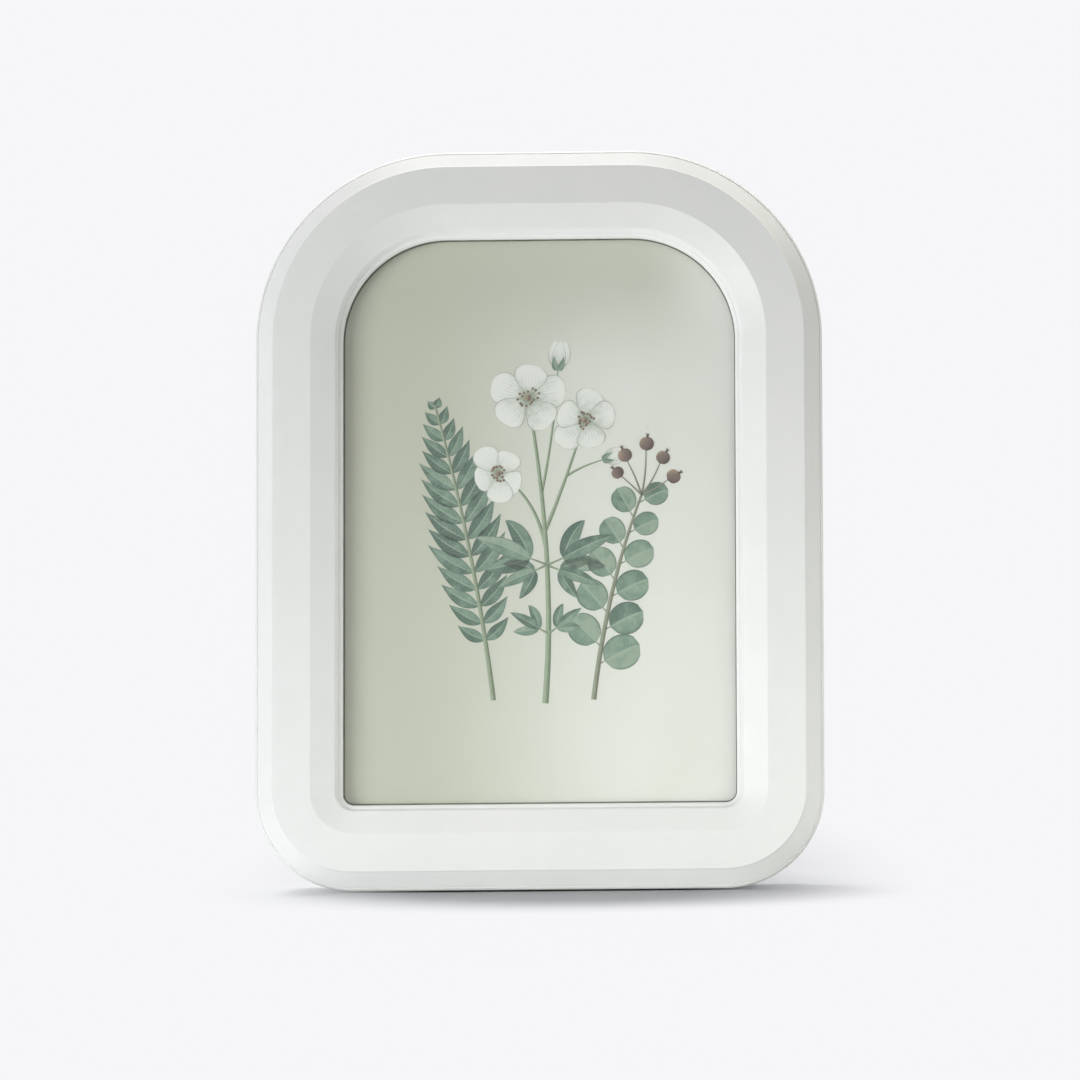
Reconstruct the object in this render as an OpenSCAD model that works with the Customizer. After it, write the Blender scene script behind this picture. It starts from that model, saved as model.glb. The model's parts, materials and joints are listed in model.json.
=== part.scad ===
// Arched tabletop photo frame with a glazed window, a loose back board held by
// turn buttons, a hinged strut leg and a keyhole hanger.
// Millimetres. The frame is drawn upright first, with its front face on y = 0, its
// bottom edge on z = 0 and +Y running to the back, and is then leaned onto its strut.

/* [Print and window] */
// Width of the print, the glass and the sheets behind it
print_w = 127; // [110:1:150]
// Height of the print, the glass and the sheets behind it
print_h = 178; // [160:1:210]
// How far the frame laps over each side of the print
lap_side = 4.6; // [3:0.1:6]
// How far the frame laps over the top and the bottom of the print
lap_end = 3; // [2.5:0.1:6]
// Corner radius of the window at the top of the arch
window_top_r = 31.5; // [22:0.5:38]
// Corner radius of the window at the bottom
window_bottom_r = 3.4; // [2:0.1:12]
// Play between the rabbet and the sheets, all round
sheet_play = 0.5; // [0.3:0.1:1]
// Corner radius of the rabbet
rabbet_corner_r = 2; // [1:0.5:4]

/* [Moulding profile] */
// Width of the outer bevel, seen from the front
bevel_w = 5.4; // [3:0.1:7]
// Depth of the outer bevel
bevel_d = 4.5; // [3:0.1:6]
// Width of the flat face
flat_w = 11.4; // [8:0.1:16]
// Width of the slope down to the window
slope_w = 7.3; // [5:0.1:10]
// Depth of the slope down to the window
slope_d = 3; // [2:0.1:5]
// Width of the quirk between the slope and the lip
quirk_w = 0.9; // [0.4:0.1:1.5]
// Depth of the quirk between the slope and the lip
quirk_d = 2.2; // [1:0.1:3]
// Radius of the rounded lip round the window
lip_r = 1.3; // [0.8:0.1:2]
// Depth of the straight wall between the lip and the glass
lip_wall = 1.7; // [1:0.1:3]
// Radius of the eased edges of the profile
edge_r = 0.4; // [0.3:0.1:1.2]
// Radius of the eased edge where the slope meets the quirk
quirk_edge_r = 0.4; // [0.2:0.1:0.8]
// Chamfer on the rear outer edge
rear_chamfer = 0.6; // [0.3:0.1:1.5]
// Taper of the side walls towards the rear, in degrees
side_draft = 13; // [8:0.5:15]

/* [Sheets in the rabbet] */
// Thickness of the glass
glass_t = 2; // [1.5:0.1:3]
// Thickness of the print
print_t = 0.4; // [0.2:0.1:0.8]
// Thickness of the filler card
filler_t = 4.4; // [1:0.1:6]
// Thickness of the back board
board_t = 3; // [2.5:0.1:4]
// How far the back board lies below the rear face of the moulding
board_recess = 0.3; // [0.1:0.1:0.6]

/* [Strut] */
// How far the standing frame leans back, in degrees
lean = 15; // [10:0.5:18]
// How far the strut opens from the back board, in degrees
strut_open = 27; // [23:0.5:36]
// Height of the strut's hinge above the bottom edge of the frame
hinge_h = 150; // [130:1:165]
// Width of the strut at its hinge
strut_top_w = 32; // [31:1:40]
// Width of the strut at its foot
strut_foot_w = 48; // [40:1:60]
// Thickness of the strut
strut_t = 4; // [3:0.5:6]
// Radius of the strut's top corners
strut_corner_r = 5; // [2:0.5:8]
// Gap between the folded strut and the back board
fold_gap = 0.3; // [0.2:0.1:1]

/* [Hinge] */
// Width of both hinge leaves
leaf_w = 28; // [22:1:31]
// Length of each leaf from the hinge axis
leaf_l = 21; // [16:1:30]
// Thickness of the leaves
leaf_t = 0.8; // [0.6:0.1:1.2]
// Corner radius of the leaves
leaf_corner_r = 3; // [1:0.5:5]
// Outer radius of the knuckles
knuckle_r = 2; // [1.8:0.1:2.6]
// Radius of the hinge pin
pin_r = 1; // [0.7:0.1:1.2]
// Length of the middle knuckle
mid_knuckle_l = 14; // [8:0.5:18]
// Side gap between neighbouring knuckles
knuckle_gap = 0.2; // [0.1:0.1:0.5]
// How far the knuckles lie behind the face of the strut's leaf
knuckle_set = 0.2; // [0.15:0.05:0.5]
// Gap between the knuckles and the leaf across the axis
leaf_relief = 0.6; // [0.4:0.1:1]
// Gap between the knuckles and the top of the strut
strut_relief = 1.2; // [0.8:0.1:2]
// Gap between the stop ears and the board's leaf when the strut is open
stop_gap = 0.05; // [0.03:0.01:0.2]
// Radius of the pin's heads
pin_head_r = 1.7; // [1.4:0.1:2]
// Thickness of the pin's heads
pin_head_t = 0.8; // [0.5:0.1:1.2]
// Length of the stop ears above the hinge axis
ear_l = 7; // [5:0.5:10]

/* [Rivets] */
// Radius of a rivet's shank
rivet_r = 1.5; // [1:0.1:2]
// Radius of a rivet's domed head
rivet_head_r = 2.8; // [2.4:0.1:3.4]
// Height of a rivet's domed head
rivet_head_h = 1; // [0.6:0.1:1.5]
// Distance between the two rivets of a leaf
rivet_pitch = 16; // [12:0.5:18]
// Distance of the rivets from the hinge axis
rivet_drop = 13.5; // [11:0.5:15]

/* [Turn buttons] */
// Reach of a button from its screw to its tip
button_reach = 13.5; // [11:0.5:14]
// Width of a button
button_w = 9; // [7.5:0.5:11]
// Thickness of a button
button_t = 1; // [0.8:0.1:1.5]
// Distance from the rabbet's edge to a button's screw
button_inset = 6.5; // [5.5:0.1:7]
// Distance of the side buttons from the ends of the rabbet
side_button_drop = 40; // [30:1:55]
// Distance of the top buttons from the sides of the rabbet
top_button_inset = 23; // [20:1:30]
// Gap under and over a button
button_gap = 0.15; // [0.1:0.05:0.3]
// Radius of the finger dimple near the tip
dimple_r = 2.2; // [1.5:0.1:3]
// Height of the finger dimple
dimple_h = 0.7; // [0.4:0.1:1]

/* [Screws] */
// Radius of the turn button screws
screw_r = 1.6; // [1.2:0.1:2]
// Radius of a pan head
screw_head_r = 3.2; // [2.8:0.1:3.6]
// Height of a pan head
screw_head_h = 1.8; // [1.4:0.1:2.4]
// Depth of a screw in the moulding
screw_depth = 9; // [6:0.5:11]
// Length of the cross recess in a pan head
recess_l = 3.8; // [3:0.1:4.5]
// Width of the cross recess in a pan head
recess_w = 0.8; // [0.5:0.1:1.2]
// Radial clearance of screws, rivets and the pin in their holes
hole_play = 0.05; // [0.02:0.01:0.1]

/* [Hanger] */
// Width of the hanger plate
hanger_w = 42; // [38:1:48]
// Height of the hanger plate
hanger_h = 16; // [14.5:0.5:18]
// Thickness of the hanger plate
hanger_t = 1; // [0.8:0.1:1.5]
// Corner radius of the hanger plate
hanger_corner_r = 3; // [1:0.5:5]
// Radius of the keyhole's round mouth
keyhole_r = 4; // [3.5:0.1:4.5]
// Width of the keyhole's slot
slot_w = 4.2; // [3.5:0.1:4.6]
// Height of the slot's end above the middle of the mouth
slot_rise = 6; // [5:0.5:7]
// Depth of the pocket behind the keyhole
pocket_depth = 5; // [4:0.5:6]
// Room round the keyhole in the pocket
pocket_room = 1.2; // [0.8:0.1:1.6]
// Distance between the hanger's two screws
hanger_screw_pitch = 31; // [29:0.5:34]

/* [Bumper pads] */
// Radius of a bumper pad
pad_r = 5; // [3:0.5:6]
// Thickness of a bumper pad
pad_t = 1.6; // [1:0.1:3]
// Distance of a pad's middle from the side and bottom edges of the rear face
pad_inset = 12.5; // [11.5:0.5:14]

/* [Hidden] */
$fn = 96;
eps = 0.01;
edge_steps = 4;
cut = 1;

// Profile of the moulding: widths run in from the outer edge, depths run back from the face.
border = bevel_w + flat_w + slope_w + quirk_w + lip_r;
lip_d = slope_d + quirk_d;
glass_d = lip_d + lip_r + lip_wall;
print_d = glass_d + glass_t;
filler_d = print_d + print_t;
board_d = filler_d + filler_t;
board_rear = board_d + board_t;
frame_t = board_rear + board_recess;
rear_in = taper(frame_t);

// Outlines in the plane of the frame.
window_w = print_w - 2 * lap_side;
window_h = print_h - 2 * lap_end;
frame_w = window_w + 2 * border;
frame_h = window_h + 2 * border;
top_r = window_top_r + border;
bottom_r = window_bottom_r + border;
middle_z = frame_h / 2;
rabbet_w = print_w + 2 * sheet_play;
rabbet_h = print_h + 2 * sheet_play;

// Hinge of the strut.
axis_y = board_rear + fold_gap + knuckle_set + knuckle_r;
axis_z = hinge_h;
strut_y = board_rear + fold_gap + leaf_t;
strut_top_drop = knuckle_r + strut_relief;
leaf_edge = knuckle_r + leaf_relief;
outer_knuckle_l = (leaf_w - mid_knuckle_l) / 2 - knuckle_gap;
bore_r = pin_r + hole_play;
knuckle_root = (knuckle_r + bore_r) / 2;
pin_seat = leaf_w / 2 + hole_play;

// Where the leaned frame stands: its lowest edge and the strut's foot are on z = 0.
stand_z = max([for (p = concat(rear_edge(), front_edge())) p[1] * sin(lean) - p[0] * cos(lean)]);
splay = strut_open - lean;
axis_stand_y = axis_y * cos(lean) + axis_z * sin(lean);
axis_stand_z = axis_z * cos(lean) - axis_y * sin(lean) + stand_z;
strut_rear = strut_y + strut_t - axis_y;
strut_l = (axis_stand_z + strut_rear * sin(splay)) / cos(splay);
foot_y = axis_stand_y + strut_rear * cos(splay) + strut_l * sin(splay);
front_y = min([for (p = front_edge()) p[1] * cos(lean) + p[0] * sin(lean)]);
back_y = max(foot_y, frame_t * cos(lean) + frame_h * sin(lean));
stand_y = -(front_y + back_y) / 2;

// Screws of the turn buttons: place in the frame's plane, and the way the button points.
button_side_x = rabbet_w / 2 + button_inset;
top_button_x = rabbet_w / 2 - top_button_inset;
button_low_z = middle_z - rabbet_h / 2 + side_button_drop;
button_high_z = middle_z + rabbet_h / 2 - side_button_drop;
button_top_z = middle_z + rabbet_h / 2 + button_inset;
BUTTONS = [
    [-button_side_x, button_high_z, 0],
    [-button_side_x, button_low_z, 0],
    [button_side_x, button_high_z, 180],
    [button_side_x, button_low_z, 180],
    [-top_button_x, button_top_z, -90],
    [top_button_x, button_top_z, -90],
];
screw_hole_r = screw_r + hole_play;
screw_tip = frame_t - screw_depth;
button_seat = frame_t + button_gap;
button_head = button_seat + button_t + button_gap;

// Hanger on the rear of the arch, midway between the rabbet and the edge of the rear face.
hanger_z = (middle_z + rabbet_h / 2 + frame_h - rear_in) / 2;
keyhole_z = hanger_z - slot_rise / 2;

// Points of an arc about c, from angle a to angle b.
function arc(c, r, a, b) =
    let (step = (b - a) / edge_steps)
    [for (i = [0 : edge_steps]) c + r * [cos(a + i * step), sin(a + i * step)]];

// Points that ease the corner at b, between its neighbours a and c, with an arc of radius r.
function eased(a, b, c, r) =
    let (
        to_a = (a - b) / norm(a - b),
        to_c = (c - b) / norm(c - b),
        half = acos(to_a * to_c) / 2,
        middle = b + (to_a + to_c) / norm(to_a + to_c) * r / sin(half),
        start = b + to_a * r / tan(half) - middle,
        finish = b + to_c * r / tan(half) - middle,
        first = atan2(start[1], start[0]),
        turn = atan2(finish[1], finish[0]) - first,
        short = turn > 180 ? turn - 360 : turn < -180 ? turn + 360 : turn
    )
    arc(middle, r, first, first + short);

// How far the side wall has come in at a depth.
function taper(depth) = (depth - bevel_d) * tan(side_draft);

// The rear outer edge of the profile, as [width, depth].
function rear_edge() = [
    [rear_in + rear_chamfer, frame_t],
    [taper(frame_t - rear_chamfer), frame_t - rear_chamfer]
];

// The front of the profile, from the side wall over the face to the window's edge, as [width, depth].
function front_edge() =
    let (
        side = [rear_in, frame_t],
        bevel_out = [0, bevel_d],
        bevel_in = [bevel_w, 0],
        face_in = [bevel_w + flat_w, 0],
        slope_in = [bevel_w + flat_w + slope_w, slope_d],
        lip_out = [border - lip_r, lip_d]
    )
    concat(
        eased(side, bevel_out, bevel_in, edge_r),
        eased(bevel_out, bevel_in, face_in, edge_r),
        eased(bevel_in, face_in, slope_in, edge_r),
        eased(face_in, slope_in, lip_out, quirk_edge_r),
        arc(lip_out + [0, lip_r], lip_r, -90, 0)
    );

// The whole profile, with the outer edge on x = 0, inwards along -x, and height above the rear face.
function profile() =
    concat(
        [[-border, 0]],
        [for (p = concat(rear_edge(), front_edge())) [-p[0], frame_t - p[1]]]
    );

// Lays the frame's plane upright, with the face at the front and the bottom edge on z = 0.
module upright() {
    translate([0, frame_t, 0]) rotate([90, 0, 0]) children();
}

// Leans the upright frame back and stands it on z = 0, with the origin under its middle.
module stand() {
    translate([0, stand_y, stand_z]) rotate([-lean, 0, 0]) children();
}

// Swings the folded strut out about its hinge.
module swing() {
    translate([0, axis_y, axis_z]) rotate([strut_open, 0, 0]) translate([0, -axis_y, -axis_z]) children();
}

// A straight length of moulding along -y, with its outer edge on x = 0.
module rail(length) {
    rotate([90, 0, 0]) linear_extrude(length) polygon(profile());
}

// A quarter turn of moulding with outer radius r about the z axis.
module bend(r) {
    rotate_extrude(angle = 90) translate([r, 0]) polygon(profile());
}

// A flat plate with round corners, centred in x and y, standing on z = 0.
module plate(w, h, t, r) {
    linear_extrude(t) union() {
        square([w - 2 * r, h], center = true);
        square([w, h - 2 * r], center = true);
        for (x = [-1, 1], y = [-1, 1]) translate([x * (w / 2 - r), y * (h / 2 - r)]) circle(r);
    }
}

// A sheet of the stack in the rabbet, its front at the given depth.
module sheet(depth, t) {
    upright() translate([0, middle_z, frame_t - depth - t]) plate(print_w, print_h, t, rabbet_corner_r);
}

// A pin along +Y from y, centred at x and z.
module along_y(x, y, z, r, length) {
    translate([x, y, z]) rotate([-90, 0, 0]) cylinder(r = r, h = length);
}

// A domed head standing on z = 0.
module dome(r, h) {
    ball = (r * r + h * h) / (2 * h);
    intersection() {
        translate([0, 0, h - ball]) sphere(ball);
        cylinder(r = r, h = h);
    }
}

// A pan head screw along +z: its head stands on z = 0 and its shank goes down.
module pan_screw(r, head_r, head_h, length) {
    difference() {
        union() {
            translate([0, 0, -length]) cylinder(r = r, h = length + eps);
            cylinder(r = head_r, h = head_h / 2);
            translate([0, 0, head_h / 2 - eps]) dome(head_r, head_h / 2 + eps);
        }
        for (turn = [0, 90]) rotate([0, 0, turn])
            translate([-recess_l / 2, -recess_w / 2, head_h / 2]) cube([recess_l, recess_w, head_h]);
    }
}

// Places children on the rear of the upright frame, their +z pointing back from depth y.
module on_rear(x, y, z) {
    translate([x, y, z]) rotate([-90, 0, 0]) children();
}

// Holes for the pair of rivets on one side of the hinge axis.
module rivet_holes(side) {
    hole_z = axis_z + side * rivet_drop;
    for (x = [-1, 1])
        along_y(x * rivet_pitch / 2, board_d - cut, hole_z, rivet_r + hole_play, frame_t);
}

// A hinge leaf's plate from the knuckles outwards, above (side 1) or below (side -1) the axis.
module leaf_plate(y, side) {
    leaf_h = leaf_l - leaf_edge;
    translate([0, y + leaf_t, axis_z + side * (leaf_edge + leaf_h / 2)]) rotate([90, 0, 0])
        plate(leaf_w, leaf_h, leaf_t, leaf_corner_r);
}

// A knuckle on the hinge axis with its root and its tongue to a leaf, from x over a length.
module knuckle(x, length, y, side) {
    tongue = leaf_edge + leaf_corner_r;
    translate([x, axis_y, axis_z]) rotate([0, 90, 0]) cylinder(r = knuckle_r, h = length);
    translate([x, y, axis_z + (side - 1) / 2 * knuckle_root]) cube([length, axis_y - y, knuckle_root]);
    translate([x, y, axis_z + (side - 1) / 2 * tongue]) cube([length, leaf_t, tongue]);
}

// The bore of the knuckles.
module pin_bore() {
    translate([-leaf_w, axis_y, axis_z]) rotate([0, 90, 0]) cylinder(r = bore_r, h = 2 * leaf_w);
}

module frame_moulding() {
    color("whitesmoke") stand() difference() {
        upright() union() {
            side_l = frame_h - top_r - bottom_r;
            translate([frame_w / 2, frame_h - top_r, 0]) rail(side_l);
            translate([-frame_w / 2, bottom_r, 0]) rotate([0, 0, 180]) rail(side_l);
            translate([-frame_w / 2 + top_r, frame_h, 0]) rotate([0, 0, 90]) rail(frame_w - 2 * top_r);
            translate([frame_w / 2 - bottom_r, 0, 0]) rotate([0, 0, -90]) rail(frame_w - 2 * bottom_r);
            translate([frame_w / 2 - top_r, frame_h - top_r, 0]) bend(top_r);
            translate([-frame_w / 2 + top_r, frame_h - top_r, 0]) rotate([0, 0, 90]) bend(top_r);
            translate([-frame_w / 2 + bottom_r, bottom_r, 0]) rotate([0, 0, 180]) bend(bottom_r);
            translate([frame_w / 2 - bottom_r, bottom_r, 0]) rotate([0, 0, -90]) bend(bottom_r);
        }
        upright() translate([0, middle_z, -cut])
            plate(rabbet_w, rabbet_h, frame_t - glass_d + cut, rabbet_corner_r);
        for (b = BUTTONS)
            along_y(b[0], screw_tip, b[1], screw_hole_r, screw_depth + cut);
        for (x = [-1, 1])
            along_y(x * hanger_screw_pitch / 2, screw_tip, hanger_z, screw_hole_r, screw_depth + cut);
        for (z = [keyhole_z, keyhole_z + slot_rise])
            along_y(0, frame_t - pocket_depth, z, keyhole_r + pocket_room, pocket_depth + cut);
        translate([-keyhole_r - pocket_room, frame_t - pocket_depth, keyhole_z])
            cube([2 * (keyhole_r + pocket_room), pocket_depth + cut, slot_rise]);
    }
}

module glass_pane() {
    color("lightcyan", 0.4) stand() sheet(glass_d, glass_t);
}

module photo_print() {
    color("ivory") stand() sheet(print_d, print_t);
}

module filler_card() {
    color("darkgray") stand() sheet(filler_d, filler_t);
}

module back_board() {
    color("peru") stand() difference() {
        sheet(board_d, board_t);
        rivet_holes(1);
    }
}

module hinge_board_leaf() {
    color("silver") stand() difference() {
        union() {
            leaf_plate(board_rear, 1);
            knuckle(-mid_knuckle_l / 2, mid_knuckle_l, board_rear, 1);
        }
        rivet_holes(1);
        pin_bore();
    }
}

module hinge_strut_leaf() {
    ear_y = board_rear + leaf_t + stop_gap;
    color("silver") stand() difference() {
        union() {
            swing() difference() {
                union() {
                    leaf_plate(strut_y - leaf_t, -1);
                    for (x = [-leaf_w / 2, leaf_w / 2 - outer_knuckle_l])
                        knuckle(x, outer_knuckle_l, strut_y - leaf_t, -1);
                }
                rivet_holes(-1);
            }
            for (x = [-leaf_w / 2, leaf_w / 2 - outer_knuckle_l])
                translate([x + knuckle_gap, ear_y, axis_z])
                    cube([outer_knuckle_l - 2 * knuckle_gap, leaf_t, ear_l]);
        }
        pin_bore();
    }
}

module hinge_pin() {
    color("gray") stand() union() {
        translate([-pin_seat - pin_head_t / 2, axis_y, axis_z]) rotate([0, 90, 0])
            cylinder(r = pin_r, h = 2 * pin_seat + pin_head_t);
        for (side = [-1, 1])
            translate([side * pin_seat, axis_y, axis_z]) rotate([0, side * 90, 0])
                dome(pin_head_r, pin_head_t);
    }
}

module board_rivets() {
    color("silver") stand() for (x = [-1, 1]) {
        on_rear(x * rivet_pitch / 2, board_rear + leaf_t, axis_z + rivet_drop) union() {
            dome(rivet_head_r, rivet_head_h);
            translate([0, 0, -leaf_t - board_t]) cylinder(r = rivet_r, h = leaf_t + board_t + eps);
        }
    }
}

module strut_rivets() {
    color("silver") stand() swing() for (x = [-1, 1]) {
        on_rear(x * rivet_pitch / 2, strut_y + strut_t, axis_z - rivet_drop) union() {
            dome(rivet_head_r, rivet_head_h);
            translate([0, 0, -leaf_t - strut_t]) cylinder(r = rivet_r, h = leaf_t + strut_t + eps);
        }
    }
}

module strut_leg() {
    top_z = axis_z - strut_top_drop;
    low_z = axis_z - strut_l - strut_t;
    top_x = strut_top_w / 2;
    foot_x = strut_foot_w / 2;
    color("peru") difference() {
        stand() swing() difference() {
            translate([0, strut_y + strut_t, 0]) rotate([90, 0, 0]) linear_extrude(strut_t) polygon(concat(
                eased([foot_x, low_z], [top_x, top_z], [-top_x, top_z], strut_corner_r),
                eased([top_x, top_z], [-top_x, top_z], [-foot_x, low_z], strut_corner_r),
                [[-foot_x, low_z], [foot_x, low_z]]
            ));
            rivet_holes(-1);
        }
        translate([-strut_foot_w, 0, -strut_l]) cube([2 * strut_foot_w, strut_l, strut_l]);
    }
}

// A turn button over the i-th screw, resting with its tip over the back board.
module turn_button(i) {
    b = BUTTONS[i];
    end_r = button_w / 2;
    tip = button_reach - end_r;
    color("silver") stand() on_rear(b[0], button_seat, b[1]) rotate([0, 0, -b[2]]) difference() {
        union() {
            linear_extrude(button_t) union() {
                circle(end_r);
                translate([tip, 0]) circle(end_r);
                translate([0, -end_r]) square([tip, button_w]);
            }
            translate([tip, 0, button_t - eps]) dome(dimple_r, dimple_h);
        }
        translate([0, 0, -cut]) cylinder(r = screw_hole_r, h = button_t + 2 * cut);
    }
}

module turn_button_screws() {
    color("silver") stand() for (b = BUTTONS)
        on_rear(b[0], button_head, b[1])
            pan_screw(screw_r, screw_head_r, screw_head_h, button_head - frame_t + screw_depth);
}

module hanger_plate() {
    color("silver") stand() difference() {
        translate([0, frame_t + hanger_t, hanger_z]) rotate([90, 0, 0])
            plate(hanger_w, hanger_h, hanger_t, hanger_corner_r);
        along_y(0, frame_t - cut, keyhole_z, keyhole_r, hanger_t + 2 * cut);
        along_y(0, frame_t - cut, keyhole_z + slot_rise, slot_w / 2, hanger_t + 2 * cut);
        translate([-slot_w / 2, frame_t - cut, keyhole_z]) cube([slot_w, hanger_t + 2 * cut, slot_rise]);
        for (x = [-1, 1])
            along_y(x * hanger_screw_pitch / 2, frame_t - cut, hanger_z, screw_hole_r, hanger_t + 2 * cut);
    }
}

module hanger_screws() {
    color("silver") stand() for (x = [-1, 1])
        on_rear(x * hanger_screw_pitch / 2, frame_t + hanger_t, hanger_z)
            pan_screw(screw_r, screw_head_r, screw_head_h, hanger_t + screw_depth);
}

module bumper_pads() {
    color("gainsboro") stand() for (x = [-1, 1])
        on_rear(x * (frame_w / 2 - rear_in - pad_inset), frame_t, rear_in + pad_inset)
            cylinder(r = pad_r, h = pad_t);
}

frame_moulding();
glass_pane();
photo_print();
filler_card();
back_board();
hinge_board_leaf();
hinge_strut_leaf();
hinge_pin();
board_rivets();
strut_rivets();
strut_leg();
turn_button(0);  // turn_button_left_upper
turn_button(1);  // turn_button_left_lower
turn_button(2);  // turn_button_right_upper
turn_button(3);  // turn_button_right_lower
turn_button(4);  // turn_button_top_left
turn_button(5);  // turn_button_top_right
turn_button_screws();
hanger_plate();
hanger_screws();
bumper_pads();
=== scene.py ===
"""Looks of the arched photo frame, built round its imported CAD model.

Every piece is modelled upright in millimetres, with the frame's face on y = 0,
its bottom edge on z = 0 and +Y to the back. It is then leaned back onto the
strut and brought to metres, so that its place is in its mesh.
"""

import json
import logging
import math
import random
from collections.abc import Callable, Iterable, Iterator, Mapping, Sequence
from contextlib import contextmanager
from dataclasses import dataclass, field
from enum import Enum

import bpy
from mathutils import Matrix, Vector

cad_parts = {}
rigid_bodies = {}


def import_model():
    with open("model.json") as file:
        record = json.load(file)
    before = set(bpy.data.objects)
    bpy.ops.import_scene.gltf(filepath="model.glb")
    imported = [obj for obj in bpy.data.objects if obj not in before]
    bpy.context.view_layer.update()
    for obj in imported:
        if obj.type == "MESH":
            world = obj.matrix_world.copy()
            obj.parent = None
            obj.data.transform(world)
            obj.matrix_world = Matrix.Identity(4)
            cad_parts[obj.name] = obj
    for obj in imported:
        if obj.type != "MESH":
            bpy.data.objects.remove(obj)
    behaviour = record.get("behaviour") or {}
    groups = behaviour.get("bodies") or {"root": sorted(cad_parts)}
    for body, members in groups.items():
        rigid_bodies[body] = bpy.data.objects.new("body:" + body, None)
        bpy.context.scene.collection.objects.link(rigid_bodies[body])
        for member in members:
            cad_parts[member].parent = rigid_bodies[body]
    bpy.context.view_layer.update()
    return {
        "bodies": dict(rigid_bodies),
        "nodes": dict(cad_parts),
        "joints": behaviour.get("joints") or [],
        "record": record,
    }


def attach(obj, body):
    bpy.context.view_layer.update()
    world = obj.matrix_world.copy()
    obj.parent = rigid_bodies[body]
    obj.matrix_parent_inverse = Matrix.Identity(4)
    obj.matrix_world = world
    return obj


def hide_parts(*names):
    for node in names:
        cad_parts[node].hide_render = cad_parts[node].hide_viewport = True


LOG = logging.getLogger("photo_frame")
MM = 0.001
WHITE = "FFFFFF"
QUARTER = math.radians(90)

Point = tuple[float, float]
Place = tuple[float, float, float]
Tint = tuple[float, float, float, float]
Test = Callable[[Vector, Vector], bool]
Spine = tuple[Sequence[float], Sequence[float], Sequence[float]]
Thing = bpy.types.Object
Material = bpy.types.Material


def tint(code: str) -> Tint:
    """Turn a six-digit screen colour into the linear colour that a socket takes.

    Args:
        code: Red, green and blue as two hexadecimal digits each.

    Returns:
        The linear colour, with full alpha.
    """
    levels = [int(code[i:i + 2], 16) / 255 for i in (0, 2, 4)]
    red, green, blue = (
        level / 12.92 if level <= 0.04045 else ((level + 0.055) / 1.055) ** 2.4
        for level in levels
    )
    return (red, green, blue, 1.0)


class Wire:
    """An output of a shader node that takes part in Python arithmetic."""

    def __init__(self, tree: "ShaderTree", socket: bpy.types.NodeSocket) -> None:
        """Keep the socket and the tree that new nodes go into."""
        self.tree = tree
        self.socket = socket

    def math(self, operation: str, *others: "Wire | float") -> "Wire":
        """Feed this value, then the others, through a Math node."""
        sockets = dict(enumerate((self, *others)))
        return self.tree.node("ShaderNodeMath", {"operation": operation}, sockets)

    def __add__(self, other: "Wire | float") -> "Wire":
        """Give this value plus another."""
        return self.math("ADD", other)

    __radd__ = __add__

    def __sub__(self, other: "Wire | float") -> "Wire":
        """Give this value minus another."""
        return self.math("SUBTRACT", other)

    def __rsub__(self, other: float) -> "Wire":
        """Give a number minus this value."""
        return self.tree.node("ShaderNodeMath", {"operation": "SUBTRACT"}, {0: other, 1: self})

    def __mul__(self, other: "Wire | float") -> "Wire":
        """Give this value times another."""
        return self.math("MULTIPLY", other)

    __rmul__ = __mul__

    def __pow__(self, other: float) -> "Wire":
        """Give this value to a power."""
        return self.math("POWER", other)

    def __abs__(self) -> "Wire":
        """Give this value without its sign."""
        return self.math("ABSOLUTE")

    def other(self, name: str) -> "Wire":
        """Give another output of the same node."""
        return Wire(self.tree, self.socket.node.outputs[name])

    def ramp(self, low: float, high: float) -> "Wire":
        """Give 0 below low, 1 above high and a smooth rise between them."""
        sockets = {"Value": self, "From Min": low, "From Max": high}
        return self.tree.node("ShaderNodeMapRange", {"interpolation_type": "SMOOTHSTEP"}, sockets)

    def ripple(self) -> "Wire":
        """Give a triangle wave: 1 at each whole number, 0 half way between them."""
        return abs(self.math("FRACT") - 0.5) * 2


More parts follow.
